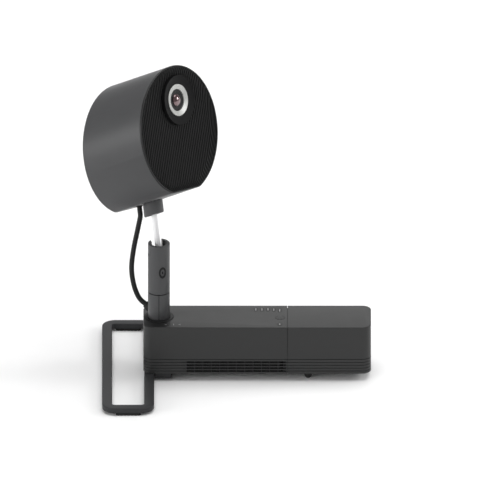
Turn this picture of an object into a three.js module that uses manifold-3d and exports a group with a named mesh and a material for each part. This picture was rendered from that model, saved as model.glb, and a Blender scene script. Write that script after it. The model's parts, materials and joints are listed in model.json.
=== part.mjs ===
// A stand-mounted spotlight projector: a round head on a tilting arm, a round post,
// a long electronics box with a slide-off cable cover, and a flat floor frame.
// Millimetres, +Z up. Lengths below are measured from the post's axis at floor level.

import * as THREE from 'three';
import { mergeVertices } from 'three/addons/utils/BufferGeometryUtils.js';
import Module from 'manifold-3d';

const wasm = await Module();
wasm.setup();

const radians = THREE.MathUtils.degToRad;

// ---- Driving dimensions -----------------------------------------------------------

const gap = 0.3;                    // running gap between neighbouring pieces

// Pose of the head as it stands
const panAngle = radians(20.2);     // about the post
const tiltAngle = radians(20.4);    // arm leaning back
const spinAngle = radians(34.2);    // head about the arm

// Place of the post in the part's own frame, whose origin is under the middle
const postPlace = new THREE.Vector3(-92.06, 1.55, 0);

const frame = {
  left: -77.7, right: -6.5, front: -148, back: 140,
  bottom: 3, top: 10.8, bar: 13.7, outerRadius: 18.5, innerRadius: 4,
};
const bracket = { right: 18, front: -33, back: 33, cornerRadius: 5 };
const framePad = { left: -59, right: -25, depth: 13.4 };
const screwPlaces = [[-13, 23], [-13, -23], [12, 23], [12, -23]];

const base = {
  left: -21.3, seam: 175.7, right: 289.9, halfDepth: 36,
  bottom: 11.1, top: 81, wall: 2.5, endRadius: 12,
};
const seamGap = 0.6;
const vent = { left: 38, pitch: 11.4, count: 12, length: 9.2, height: 2.1, rows: 4, low: 15.4, rise: 4.35 };
const footPlace = { x: 204, y: 22 };
const plateThickness = 2.2;

const postRadius = 15;
const lowerPostTop = 119.2;
const panTubeBottom = 119.6;
const panTubeTop = 192;
const tiltHeight = 176;
const slotWidth = 16;

const rodRadius = 4;
const armLength = 71.8;             // tilt pin to the head's underside, along the arm
const collarRadius = 13.85;
const collarHeight = 18.1;

const drumRadius = 86.6;
const drumAxisHeight = 81.2;        // above the flat underside
const drumSkew = radians(12.7);     // the drum's axis against the face's normal
const drumFront = -61;
const drumBack = 45;
const drumWall = 2.5;
const undersideBlend = 20;

const lensPlace = { x: 8, z: 137.2 };
const cableExit = { x: -1.5, y: 22.5 };
const slotPitch = 8;

const cableRadius = 3.5;

// ---- Materials ---------------------------------------------------------------------

function finish(color, roughness, metalness = 0) {
  return new THREE.MeshStandardMaterial({ color, roughness, metalness });
}

const darkShell = finish('#4a4b4d', 0.45);
const frameGrey = finish('#45474a', 0.5, 0.3);
const blackPlastic = finish('#1b1c1e', 0.5);
const blackRubber = finish('#141415', 0.8);
const steel = finish('#b9bcc0', 0.3, 1);
const whiteRod = finish('#d9dadb', 0.35, 0.2);
const ringGrey = finish('#c3c6c6', 0.4, 0.3);
const lensGlass = finish('#2a2438', 0.05);
const boardGreen = finish('#1f5a3c', 0.6);
const aluminium = finish('#a9acb0', 0.4, 1);
const keyGrey = finish('#5a5c5e', 0.5);

// ---- Geometry helpers --------------------------------------------------------------

function solidOf(geometry) {
  const bare = geometry.index ? geometry.toNonIndexed() : geometry.clone();
  bare.deleteAttribute('normal');
  bare.deleteAttribute('uv');
  const merged = mergeVertices(bare, 1e-4);
  return new wasm.Manifold(new wasm.Mesh({
    numProp: 3,
    vertProperties: new Float32Array(merged.attributes.position.array),
    triVerts: new Uint32Array(merged.index.array),
  }));
}

function geometryOf(solid) {
  const mesh = solid.getMesh();
  const geometry = new THREE.BufferGeometry();
  geometry.setAttribute('position', new THREE.BufferAttribute(mesh.vertProperties, mesh.numProp));
  geometry.setIndex(new THREE.BufferAttribute(mesh.triVerts, 1));
  geometry.computeVertexNormals();
  return geometry;
}

function cut(geometry, ...tools) {
  return geometryOf(tools.reduce((left, tool) => left.subtract(solidOf(tool)), solidOf(geometry)));
}

function join(...geometries) {
  return geometryOf(geometries.map(solidOf).reduce((whole, piece) => whole.add(piece)));
}

function common(first, second) {
  return geometryOf(solidOf(first).intersect(solidOf(second)));
}

function box(x0, x1, y0, y1, z0, z1) {
  return new THREE.BoxGeometry(x1 - x0, y1 - y0, z1 - z0)
    .translate((x0 + x1) / 2, (y0 + y1) / 2, (z0 + z1) / 2);
}

// A profile of [radius, height] pairs, anticlockwise, turned about Z
function turned(profile, segments = 24) {
  const points = profile.map(([r, z]) => new THREE.Vector2(r, z));
  return new THREE.LatheGeometry(points, segments).rotateX(Math.PI / 2);
}

function disc(radius, z0, z1, segments = 24) {
  return turned([[0, z0], [radius, z0], [radius, z1], [0, z1]], segments);
}

function ring(outer, inner, z0, z1, segments = 24) {
  return turned([[inner, z0], [outer, z0], [outer, z1], [inner, z1], [inner, z0]], segments);
}

function alongY(geometry) {
  return geometry.rotateX(-Math.PI / 2);
}

function alongX(geometry) {
  return geometry.rotateY(Math.PI / 2);
}

function extruded(shape, z0, z1, curveSegments = 3) {
  const options = { depth: z1 - z0, bevelEnabled: false, curveSegments };
  return new THREE.ExtrudeGeometry(shape, options).translate(0, 0, z0);
}

// A rectangle whose left and right pairs of corners have radii of their own
function rectangle(x0, x1, y0, y1, leftRadius, rightRadius = leftRadius, Outline = THREE.Shape) {
  const outline = new Outline();
  const quarter = Math.PI / 2;
  const corner = (x, y, r, start) => {
    if (r > 0) outline.absarc(x, y, r, start, start + quarter, false);
    else outline.lineTo(x, y);
  };
  outline.moveTo((x0 + x1) / 2, y0);
  corner(x1 - rightRadius, y0 + rightRadius, rightRadius, -quarter);
  corner(x1 - rightRadius, y1 - rightRadius, rightRadius, 0);
  corner(x0 + leftRadius, y1 - leftRadius, leftRadius, quarter);
  corner(x0 + leftRadius, y0 + leftRadius, leftRadius, 2 * quarter);
  outline.closePath();
  return outline;
}

function obround(width, length) {
  return rectangle(-width / 2, width / 2, -length / 2, length / 2, width / 2 - 0.01);
}

function add(group, name, geometry, material) {
  const mesh = new THREE.Mesh(geometry, material);
  mesh.name = name;
  group.add(mesh);
  return mesh;
}

function fanFrame(size, depth, boreRadius, hubRadius) {
  const half = size / 2;
  const plate = extruded(rectangle(-half, half, -half, half, 3), 0, depth, 2);
  const spokes = [0, 1, 2].map((k) => box(hubRadius - 1, boreRadius + 0.8, -1.2, 1.2, 0, 2)
    .rotateZ(k * 2 * Math.PI / 3));
  const bored = cut(plate, disc(boreRadius, -1, depth + 1));
  return join(bored, disc(hubRadius, 0, 2, 20), ...spokes);
}

function fanRotor(tipRadius, hubRadius, depth, blades) {
  const pitch = radians(38);
  const hub = disc(hubRadius, 0, depth, 14);
  const blade = (k) => box(hubRadius - 1.5, tipRadius, -0.7, 0.7, -depth * 0.55, depth * 0.55)
    .rotateX(pitch).translate(0, 0, depth / 2).rotateZ(k * 2 * Math.PI / blades);
  const all = join(hub, ...Array.from({ length: blades }, (_, k) => blade(k)));
  return common(all, disc(tipRadius, 0, depth, 20));
}

// ---- Floor frame -------------------------------------------------------------------

function floorFrame(group) {
  const { left, right, front, back, bar } = frame;
  const outline = rectangle(left, right, front, back, frame.outerRadius);
  outline.holes.push(rectangle(left + bar, right - bar, front + bar, back - bar,
    frame.innerRadius, frame.innerRadius, THREE.Path));
  const bars = extruded(outline, frame.bottom, frame.top, 5);
  const holes = screwPlaces.filter(([x]) => x < right).map(([x, y]) => disc(2.3, 0, 20, 12).translate(x, y, 0));
  add(group, 'floor_frame', cut(bars, ...holes), frameGrey);

  const tongue = extruded(rectangle(right + gap, bracket.right, bracket.front, bracket.back,
    0, bracket.cornerRadius), frame.bottom, frame.top);
  const tongueHoles = screwPlaces.filter(([x]) => x > right).map(([x, y]) => disc(2.3, 0, 20, 12).translate(x, y, 0));
  add(group, 'frame_bracket', cut(tongue, ...tongueHoles), frameGrey);

  screwPlaces.forEach(([x, y], i) => {
    const screw = turned([[0, 0.5], [3.2, 0.5], [3.5, 1], [3.5, 2.7], [2, 2.7], [2, 17], [0, 17]], 12);
    add(group, `frame_screw_${i + 1}`, screw.translate(x, y, 0), steel);
  });

  const padAt = (name, y0, y1) => add(group, name,
    extruded(rectangle(framePad.left, framePad.right, y0, y1, 3), 0, frame.bottom - gap), blackRubber);
  padAt('front_frame_pad', front + 0.2, front + framePad.depth);
  padAt('rear_frame_pad', back - framePad.depth, back - 0.2);
}

// ---- Base box ----------------------------------------------------------------------

function basePlan(x0, x1, inset, leftRadius, rightRadius) {
  const half = base.halfDepth - inset;
  return rectangle(x0, x1, -half, half, leftRadius, rightRadius);
}

function ventSlots() {
  const slots = [];
  for (let row = 0; row < vent.rows; row += 1) {
    for (let k = 0; k < vent.count; k += 1) {
      const x = vent.left + k * vent.pitch;
      const z = vent.low + row * vent.rise;
      slots.push(box(x, x + vent.length, -base.halfDepth - 1, -base.halfDepth + base.wall + 1,
        z - vent.height / 2, z + vent.height / 2));
    }
  }
  return slots;
}

const keyHoleGap = 0.35;
const keys = [
  { name: 'source_key', x: 132.5, y: 22, width: 4, length: 10 },
  { name: 'shape_key', x: 140.8, y: 22, width: 4, length: 10 },
  { name: 'focus_key', x: 149.1, y: 22, width: 4, length: 10 },
  { name: 'menu_key', x: 157, y: 21, width: 4, length: 10 },
  { name: 'back_key', x: 165.2, y: 19, width: 4, length: 10 },
  { name: 'navigation_key', x: 165.6, y: -4.4, width: 13, length: 13 },
  { name: 'power_key', x: 165.3, y: -25.6, width: 6, length: 9 },
];

function baseBox(group) {
  const { left, seam, right, bottom, top, wall, endRadius } = base;
  const mainEnd = seam - seamGap / 2;
  const coverStart = seam + seamGap / 2;

  const outer = extruded(basePlan(left, mainEnd, 0, endRadius, 0), bottom, top);
  const inner = extruded(basePlan(left + wall, mainEnd + 1, wall, endRadius - wall, 0),
    bottom - 1, top - wall);
  const keyHoles = keys.map(({ x, y, width, length }) => extruded(
    obround(width + 2 * keyHoleGap, length + 2 * keyHoleGap), top - 5, top + 1, 2).translate(x, y, 0));
  const postHole = disc(12.1, top - 5, top + 1);
  add(group, 'base_housing', cut(outer, inner, postHole, ...keyHoles, ...ventSlots()), darkShell);

  const plate = extruded(basePlan(left + wall + gap, right - wall - gap, wall + gap,
    endRadius - wall - gap, endRadius - wall - gap), bottom, bottom + plateThickness);
  const plateHoles = screwPlaces.map(([x, y]) => disc(2.3, 0, 20, 12).translate(x, y, 0));
  const footHoles = [1, -1].map((side) => disc(2.8, 0, 20, 12).translate(footPlace.x, side * footPlace.y, 0));
  add(group, 'base_bottom_plate', cut(plate, ...plateHoles, ...footHoles), frameGrey);

  const coverOuter = extruded(basePlan(coverStart, right, 0, 0, endRadius), bottom, top);
  const coverInner = extruded(basePlan(coverStart - 1, right - wall, wall, 0, endRadius - wall),
    bottom - 1, top - wall);
  const outlet = box(232, 268, base.halfDepth - 6, base.halfDepth + 2, bottom - 1, 34);
  add(group, 'cable_cover', cut(coverOuter, coverInner, outlet), darkShell);
}

function connectors(group) {
  const inside = base.halfDepth - base.wall - gap;
  const panelX = 169.6;
  const panelThickness = 2.2;
  const ports = [
    { name: 'power_inlet', y: -17, z: 55, width: 27, height: 19, mouth: [22, 14], depth: 12, colour: blackPlastic },
    { name: 'video_port', y: 11, z: 55, width: 17, height: 8, mouth: [14, 5], depth: 12, colour: steel },
    { name: 'network_port', y: 11, z: 34, width: 16, height: 14, mouth: [11.6, 8.4], depth: 14, colour: steel },
  ];
  const floor = base.bottom + plateThickness + gap;
  const panel = box(panelX, panelX + panelThickness, -inside, inside, floor, base.top - 7);
  const windows = ports.map(({ y, z, width, height }) => box(panelX - 1, panelX + 4,
    y - width / 2 - gap, y + width / 2 + gap, z - height / 2 - gap, z + height / 2 + gap));
  add(group, 'connector_panel', cut(panel, ...windows), frameGrey);

  for (const { name, y, z, width, height, mouth, depth, colour } of ports) {
    const face = panelX + panelThickness + 2;
    const body = box(face - depth, face, y - width / 2, y + width / 2, z - height / 2, z + height / 2);
    const recess = box(face - depth * 0.7, face + 1,
      y - mouth[0] / 2, y + mouth[0] / 2, z - mouth[1] / 2, z + mouth[1] / 2);
    add(group, name, cut(body, recess), colour);
  }
}

function baseInsides(group) {
  const board = join(
    box(24, 106, -30, 30, 18, 19.6),
    box(40, 60, -12, 8, 19, 23),
    box(70, 96, 4, 22, 19, 27),
    box(72, 80, -24, -8, 19, 31),
  );
  add(group, 'main_board', board, boardGreen);

  const supply = join(
    box(24, 106, -31, 31, 38, 40),
    box(32, 62, -24, 6, 39, 66),
    box(70, 84, -22, 22, 39, 60),
    box(90, 102, -14, 18, 39, 70),
  );
  add(group, 'power_supply', supply, boardGreen);

  const fanCentre = [134, 43];
  const frameGeometry = alongY(fanFrame(50, 14, 23, 8)).translate(fanCentre[0], -31, fanCentre[1]);
  add(group, 'base_fan_frame', frameGeometry, blackPlastic);
  const rotor = alongY(fanRotor(21.8, 9, 9.5, 7)).translate(fanCentre[0], -27.6, fanCentre[1]);
  add(group, 'base_fan_rotor', rotor, blackPlastic);
}

function feet(group) {
  const foot = () => turned([
    [0, 0], [3.4, 0], [4.6, 2.2], [6, 7.2], [6, 9.2], [2.4, 10.2], [2.4, 16.5], [0, 16.5],
  ], 20);
  add(group, 'front_foot', foot().translate(footPlace.x, -footPlace.y, 0), blackRubber);
  add(group, 'rear_foot', foot().translate(footPlace.x, footPlace.y, 0), blackRubber);
}

function keypad(group) {
  for (const { name, x, y, width, length } of keys) {
    const cap = extruded(obround(width, length), base.top - 4.5, base.top + 0.7, 2);
    const flange = extruded(obround(width + 2, length + 2), base.top - 5, base.top - base.wall - 1.1, 2);
    add(group, name, join(cap, flange).translate(x, y, 0), keyGrey);
  }
}

// ---- Post --------------------------------------------------------------------------

const cableEntry = new THREE.Vector3(-12.9, 7.4, 91.6);
const entryDirection = new THREE.Vector3(-0.79, 0.44, 0.43).normalize();

function placedAlong(geometry, place, direction) {
  const turn = new THREE.Quaternion().setFromUnitVectors(new THREE.Vector3(0, 0, 1), direction);
  return geometry.applyQuaternion(turn).translate(place.x, place.y, place.z);
}

function halfTube(outer, inner, side) {
  const shape = new THREE.Shape();
  const lean = Math.asin(gap / 2 / outer);
  const leanInside = Math.asin(gap / 2 / inner);
  const start = side > 0 ? -Math.PI / 2 : Math.PI / 2;
  shape.absarc(0, 0, outer, start + lean, start + Math.PI - lean, false);
  shape.absarc(0, 0, inner, start + Math.PI - leanInside, start + leanInside, true);
  shape.closePath();
  return shape;
}

function post(group) {
  const foot = base.top + gap;
  add(group, 'post_foot_ring', turned([
    [postRadius + gap, foot], [20.8, foot], [20.8, foot + 0.7], [20, foot + 1.3],
    [postRadius + gap, foot + 1.3], [postRadius + gap, foot],
  ], 32), blackPlastic);
  add(group, 'post_core', ring(11.7, 9.4, base.bottom + plateThickness + gap, 139), steel);
  add(group, 'pan_bush', ring(13.2, 12, lowerPostTop + 0.7, 138), blackPlastic);

  const entryHole = placedAlong(disc(4.2, -6, 20, 20), cableEntry, entryDirection);
  const leftHalf = extruded(halfTube(postRadius, 12, -1), foot, lowerPostTop, 8);
  add(group, 'left_post_cover', cut(leftHalf, entryHole), darkShell);
  add(group, 'right_post_cover', extruded(halfTube(postRadius, 12, 1), foot, lowerPostTop, 8), darkShell);

  const gland = placedAlong(turned([
    [3.85, -4], [6.4, -4], [6.4, 2.6], [5.2, 7], [3.85, 7], [3.85, -4],
  ], 20), cableEntry, entryDirection);
  add(group, 'post_cable_gland', cut(gland, disc(postRadius + gap, 60, 130, 32)), blackRubber);
}

// ---- Pan tube, which turns on the post ----------------------------------------------

function panTube(group) {
  const tube = turned([
    [13.5, panTubeBottom], [postRadius, panTubeBottom], [postRadius, panTubeTop - 0.8],
    [postRadius - 0.8, panTubeTop], [11, panTubeTop], [11, 140], [13.5, 140], [13.5, panTubeBottom],
  ], 32);
  const slot = box(-slotWidth / 2, slotWidth / 2, 2, 20, tiltHeight - 2.5, panTubeTop + 2);
  const pinHole = alongX(disc(2.3, -20, 20, 16)).translate(0, 0, tiltHeight);
  const window = alongY(extruded(obround(9.4, 16), -20, -5, 4)).translate(0, 0, 153);
  add(group, 'pan_tube', cut(tube, slot, pinHole, window), darkShell);

  add(group, 'tilt_pin', alongX(disc(2, -13.6, 13.6, 16)).translate(0, 0, tiltHeight), steel);

  const plugBody = alongY(join(
    extruded(obround(6.4, 11.4), -14.6, -10),
    extruded(obround(8.6, 15.2), -13.2, -11.4),
  )).translate(0, 0, 153);
  const socket = alongY(extruded(obround(2.8, 5.4), -16, -12.6, 2)).translate(0, 0, 153);
  add(group, 'tilt_screw_plug', cut(plugBody, socket), blackPlastic);
}

// ---- Arm, from the tilt pin up into the head ----------------------------------------

function arm(group) {
  const knuckle = alongX(disc(9, -5.5, 5.5));
  const pinBore = alongX(disc(2.3, -8, 8, 16));
  const rodSocket = disc(rodRadius + gap, 4.5, 12, 20);
  add(group, 'arm_knuckle', cut(knuckle, pinBore, rodSocket), steel);
  add(group, 'arm_rod', disc(rodRadius, 5, armLength + 12, 24), whiteRod);
  add(group, 'arm_retainer', ring(9, rodRadius + gap, armLength + 6.3, armLength + 9, 24), steel);
}

// ---- Head --------------------------------------------------------------------------

// The drum's outline, square to its axis: a circle with a short flat underside
function drumOutline(inset) {
  const radius = drumRadius - inset;
  const floor = inset - drumAxisHeight;
  const blend = undersideBlend - inset;
  const reach = Math.sqrt((radius - blend) ** 2 - (floor + blend) ** 2);
  const side = Math.atan2(floor + blend, reach);
  const shape = new THREE.Shape();
  shape.absarc(0, 0, radius, side, Math.PI - side, false);
  shape.absarc(-reach, floor + blend, blend, Math.PI - side, 1.5 * Math.PI, false);
  shape.absarc(reach, floor + blend, blend, 1.5 * Math.PI, 2 * Math.PI + side, false);
  shape.closePath();
  return shape;
}

// The skewed drum between two planes that are square to the face's normal
function drum(inset, y0, y1, segments = 12) {
  const length = 260;
  const prism = extruded(drumOutline(inset), -length / 2, length / 2, segments);
  prism.rotateX(Math.PI / 2).translate(0, 0, drumAxisHeight).rotateX(-drumSkew);
  return common(prism, box(-120, 120, y0, y1, -60, 240));
}

// Height of the outline's centre in a plane square to the face's normal
function centreHeight(y) {
  return (drumAxisHeight - y * Math.sin(drumSkew)) / Math.cos(drumSkew);
}

function headCasing(group) {
  const cableHole = disc(4.6, -30, 20, 20).translate(cableExit.x, cableExit.y, 0);
  const rodHole = disc(rodRadius + 0.6, -30, 20, 24);
  const tube = cut(drum(0, drumFront + 3.3, drumBack - 3), drum(drumWall, -90, 90), rodHole, cableHole);
  add(group, 'head_shell', tube, darkShell);

  add(group, 'front_rim', cut(drum(0, drumFront, drumFront + 3), drum(3, -90, 90)), blackPlastic);

  const exhaust = [];
  const exhaustPitch = 7;
  for (let k = -5; k <= 5; k += 1) {
    const half = Math.sqrt(40 ** 2 - (k * exhaustPitch) ** 2);
    exhaust.push(box(k * exhaustPitch - 1.6, k * exhaustPitch + 1.6, 30, 60, 78 - half, 78 + half));
  }
  add(group, 'head_rear_cover', cut(drum(0, drumBack - 2.7, drumBack), ...exhaust), darkShell);
}

function frontGrille(group) {
  const front = drumFront + 3.4;
  const thickness = 2;
  const slots = [];
  const count = 10;
  const middle = centreHeight(front);
  for (let k = -count; k <= count; k += 1) {
    const x = k * slotPitch;
    const half = Math.sqrt((drumRadius - 5.5) ** 2 - x ** 2) / Math.cos(drumSkew);
    const low = Math.max(middle - half, 24);
    slots.push(box(x - 0.8, x + 0.8, front - 1, front + thickness + 1, low, middle + half));
  }
  const lensRing = alongY(disc(38, front - 3, front + 5, 24)).translate(lensPlace.x, 0, lensPlace.z);
  const bars = geometryOf(slots.map(solidOf).reduce((all, slot) => all.add(slot)).subtract(solidOf(lensRing)));
  const lensHole = alongY(disc(34.6, front - 3, front + 5, 36)).translate(lensPlace.x, 0, lensPlace.z);
  const panel = drum(3.4, front, front + thickness);
  add(group, 'front_grille', cut(panel, bars, lensHole), blackPlastic);
}

function lens(group) {
  const { x, z } = lensPlace;
  const place = (name, profile, material, segments) => add(group, name,
    alongY(turned(profile, segments)).translate(x, drumFront, z), material);
  place('lens_bezel', [
    [22.2, 1.6], [34.2, -0.6], [34.2, 6], [22.2, 6], [22.2, 1.6],
  ], blackPlastic, 36);
  place('lens_ring', [
    [15, 3.6], [21.9, 1.6], [21.9, 6.6], [15, 6.6], [15, 3.6],
  ], ringGrey, 36);
  place('lens_barrel', [
    [11.6, 5.2], [14.6, 5.2], [14.6, 44], [12.8, 44], [12.8, 12], [11.6, 12], [11.6, 5.2],
  ], blackPlastic, 24);
  place('front_lens', [
    [0, 6.6], [4, 7], [8, 8.2], [11.2, 10.2], [11.2, 11], [0, 11],
  ], lensGlass, 24);
  place('rear_lens', [[0, 30], [7, 31], [12.4, 33], [12.4, 36], [0, 36]], lensGlass, 24);
}

function headInsides(group) {
  const engine = join(box(-24, 36, -12, 22, 104, 140), box(-8, 24, -14, -10, 122, 150));
  add(group, 'light_engine', cut(engine, box(-16, 30, 0, 30, 118, 150)), aluminium);

  const fins = [box(-64, -60, -14, 24, 58, 112)];
  for (let k = 0; k < 9; k += 1) fins.push(box(-61, -34, -14, 24, 59 + k * 6, 60.6 + k * 6));
  add(group, 'heat_sink', join(...fins), aluminium);

  const board = join(box(44, 45.6, -44, 16, 50, 96), box(38, 44.5, -30, -12, 60, 80), box(40, 44.5, -4, 10, 66, 76));
  add(group, 'head_board', board, boardGreen);

  const fanPlace = [0, 78];
  add(group, 'head_fan_frame', alongY(fanFrame(60, 13, 28, 9)).translate(fanPlace[0], 27, fanPlace[1]), blackPlastic);
  add(group, 'head_fan_rotor', alongY(fanRotor(26.8, 10, 9, 7)).translate(fanPlace[0], 30.4, fanPlace[1]), blackPlastic);
}

function headMount(group) {
  const below = box(-60, 60, -60, 60, -collarHeight, -gap).rotateX(-drumSkew);
  const collar = common(ring(collarRadius, 6.9, -40, 20, 32), below);
  add(group, 'collar', collar, darkShell);
  add(group, 'head_bush', ring(6.6, rodRadius + gap, -14.5, -4.5, 24), blackPlastic);

  const gland = turned([
    [3.85, -13], [5, -13], [6.4, -9], [6.4, 6], [3.85, 6], [3.85, -13],
  ], 20).translate(cableExit.x, cableExit.y, 0);
  add(group, 'head_cable_gland', common(gland, below), blackRubber);
}

// ---- Cable, from the post's gland to the head's --------------------------------------

const cableRoute = [
  [-12.4, 7.2, 91.4], [-15.6, 9, 93.2], [-20, 11.5, 96], [-24.6, 13.8, 99.4], [-28.2, 15.3, 104.2],
  [-32.6, 17.2, 114.6], [-35.5, 18.6, 126.2], [-37.1, 19.9, 137.8], [-37.2, 21.2, 149.3],
  [-36.1, 22.3, 160.9], [-34.4, 23.4, 172.4], [-32.3, 24.3, 184.1], [-29.9, 25.2, 195.7],
  [-27.6, 26.4, 207.4], [-25.4, 28.2, 219.3], [-26, 30.5, 225.9], [-26.9, 33, 233.2],
].map((point) => new THREE.Vector3(...point));

class Stretch extends THREE.Curve {
  constructor(route, from, to) {
    super();
    Object.assign(this, { route, from, to });
  }

  getPoint(t, target = new THREE.Vector3()) {
    return this.route.getPointAt(THREE.MathUtils.lerp(this.from, this.to, t), target);
  }
}

function cable(group) {
  const route = new THREE.CatmullRomCurve3(cableRoute, false, 'centripetal');
  const end = gap / route.getLength() / 2;
  const stretches = { cable_lower: [0, 0.4], cable_middle: [0.4, 0.72], cable_upper: [0.72, 1] };
  const section = new THREE.Shape().absarc(0, 0, cableRadius, 0, 2 * Math.PI, false);
  for (const [name, [from, to]] of Object.entries(stretches)) {
    const extrudePath = new Stretch(route, from + end, to - end);
    const geometry = new THREE.ExtrudeGeometry(section, { steps: 9, curveSegments: 5, extrudePath });
    add(group, name, geometry, blackRubber);
  }
}

// ---- Assembly ----------------------------------------------------------------------

const projector = new THREE.Group();
const stand = new THREE.Group();
stand.position.copy(postPlace);
projector.add(stand);

floorFrame(stand);
baseBox(stand);
connectors(stand);
baseInsides(stand);
feet(stand);
keypad(stand);
post(stand);
cable(stand);

const panGroup = new THREE.Group();
panGroup.rotation.z = panAngle;
stand.add(panGroup);
panTube(panGroup);

const armGroup = new THREE.Group();
armGroup.position.z = tiltHeight;
armGroup.rotation.x = -tiltAngle;
panGroup.add(armGroup);
arm(armGroup);

const headGroup = new THREE.Group();
headGroup.position.z = armLength;
headGroup.rotation.z = spinAngle;
armGroup.add(headGroup);
headMount(headGroup);
headCasing(headGroup);
frontGrille(headGroup);
lens(headGroup);
headInsides(headGroup);

export default projector;
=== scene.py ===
"""A stand-mounted spotlight projector, detailed piece by piece around its CAD frame.

Laid out as an add-on: a panel in the 3D view's sidebar lists one operator for each group of
pieces. Local sizes are in millimetres and become metres when a mesh is made.
"""

import json
import math

import bmesh
import bpy
from mathutils import Matrix, Vector


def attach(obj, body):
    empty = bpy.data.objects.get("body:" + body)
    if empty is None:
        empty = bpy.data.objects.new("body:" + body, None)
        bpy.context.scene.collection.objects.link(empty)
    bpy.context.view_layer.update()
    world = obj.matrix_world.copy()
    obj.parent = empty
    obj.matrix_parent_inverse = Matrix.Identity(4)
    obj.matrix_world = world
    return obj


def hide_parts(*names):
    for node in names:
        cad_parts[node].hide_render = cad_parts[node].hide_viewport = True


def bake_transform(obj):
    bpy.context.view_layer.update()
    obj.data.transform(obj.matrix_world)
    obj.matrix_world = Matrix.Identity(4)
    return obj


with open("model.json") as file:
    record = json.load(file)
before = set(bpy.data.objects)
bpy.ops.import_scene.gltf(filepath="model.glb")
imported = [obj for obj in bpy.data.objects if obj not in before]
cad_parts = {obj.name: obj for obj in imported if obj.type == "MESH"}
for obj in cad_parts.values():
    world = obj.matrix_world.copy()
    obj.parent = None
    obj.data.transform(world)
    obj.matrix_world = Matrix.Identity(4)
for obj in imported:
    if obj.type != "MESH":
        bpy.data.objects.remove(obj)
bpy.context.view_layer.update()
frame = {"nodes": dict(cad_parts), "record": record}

bl_info = {
    "name": "Spotlight Projector",
    "version": (1, 0, 0),
    "blender": (4, 5, 0),
    "location": "View3D > Sidebar > Projector",
    "description": "Builds the detailed pieces of a stand-mounted spotlight projector",
    "category": "Object",
}

MM = 0.001
FULL_TURN = 2 * math.pi

# ---- Where things are, read from the frame -----------------------------------------------------

RECORD = frame["record"]
JOINTS = {joint["name"]: joint for joint in RECORD["behaviour"]["joints"]}
BODY_OF = {node: body for body, nodes in RECORD["behaviour"]["bodies"].items() for node in nodes}


def placed(origin, x, z):
    """The matrix of a local frame with this origin, x axis and z axis."""
    x, z = Vector(x).normalized(), Vector(z).normalized()
    y = z.cross(x)
    turn = Matrix((x, y, z)).transposed().to_4x4()
    return Matrix.Translation(Vector(origin)) @ turn


POST_AXIS = Vector(JOINTS["pan_turn"]["pos_m"])
TILT_AXIS = Vector(JOINTS["arm_tilt"]["axis"])
ARM_AXIS = Vector(JOINTS["head_turn"]["axis"])
FACE_NORMAL = Vector(JOINTS["focus_travel"]["axis"])

STAND = Matrix.Translation((POST_AXIS.x, POST_AXIS.y, 0))
PAN = placed((POST_AXIS.x, POST_AXIS.y, 0), -TILT_AXIS, (0, 0, 1))
ARM = placed(JOINTS["arm_tilt"]["pos_m"], -TILT_AXIS, ARM_AXIS)
HEAD = placed(JOINTS["head_turn"]["pos_m"], (-FACE_NORMAL).cross(ARM_AXIS), ARM_AXIS)


def span(node, place=STAND):
    """Lowest and highest corner of a CAD node, in millimetres in a local frame."""
    turn = place.inverted()
    points = [turn @ v.co / MM for v in frame["nodes"][node].data.vertices]
    low = Vector([min(p[i] for p in points) for i in range(3)])
    high = Vector([max(p[i] for p in points) for i in range(3)])
    return low, high


# ---- Sizes and colours that a user would change ------------------------------------------------

class ProjectorColours(bpy.types.PropertyGroup):
    """Linear colours of the main finishes"""

    shell: bpy.props.FloatVectorProperty(
        name="Shell", description="Dark grey plastic of the head and the post",
        subtype="COLOR", default=(0.06, 0.0605, 0.0625))
    # The box's grey is the shell's grey made darker as painted shade for the weaker light low down
    # near the floor; the keys take it too
    box: bpy.props.FloatVectorProperty(
        name="Box", description="Darker grey plastic of the electronics box",
        subtype="COLOR", default=(0.02, 0.0204, 0.0204))
    frame: bpy.props.FloatVectorProperty(
        name="Floor frame", description="Paint of the floor frame and its bracket",
        subtype="COLOR", default=(0.03, 0.0305, 0.032))
    grille: bpy.props.FloatVectorProperty(
        name="Grille", description="Black plastic of the ribbed face",
        subtype="COLOR", default=(0.0075, 0.0078, 0.008))
    lens_ring: bpy.props.FloatVectorProperty(
        name="Lens ring", description="Light ring round the lens",
        subtype="COLOR", default=(0.45, 0.455, 0.44))
    arm: bpy.props.FloatVectorProperty(
        name="Arm", description="Light finish of the arm's rod",
        subtype="COLOR", default=(0.9, 0.9, 0.91))
    legend: bpy.props.FloatVectorProperty(
        name="Legends", description="Light marks on the keys and beside the post",
        subtype="COLOR", default=(0.26, 0.26, 0.262))


class ProjectorDetails(bpy.types.PropertyGroup):
    """Small features that the frame leaves plain"""

    edge_radius: bpy.props.FloatProperty(
        name="Edge radius", description="Rounding of the box's long edges",
        unit="LENGTH", default=0.0016)
    groove_depth: bpy.props.FloatProperty(
        name="Groove depth", description="Depth of the lines round the box",
        unit="LENGTH", default=0.0009)
    rib_pitch: bpy.props.FloatProperty(
        name="Rib pitch", description="Distance between the ribs of the face",
        unit="LENGTH", default=0.004)
    rib_depth: bpy.props.FloatProperty(
        name="Rib depth", description="How far the ribs stand out",
        unit="LENGTH", default=0.0016)
    frame_edge: bpy.props.FloatProperty(
        name="Frame edge", description="Rounding of the floor frame's edges",
        unit="LENGTH", default=0.0014)
    cable_diameter: bpy.props.FloatProperty(
        name="Cable diameter", description="Outside diameter of the head's cable",
        unit="LENGTH", default=0.007)


# ---- Outlines and solids, in millimetres -------------------------------------------------------

def arc(x, y, radius, start, end, steps):
    """Points on an arc, angles in degrees, both ends included."""
    angles = [math.radians(start + (end - start) * k / steps) for k in range(steps + 1)]
    return [(x + radius * math.cos(a), y + radius * math.sin(a)) for a in angles]


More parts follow.
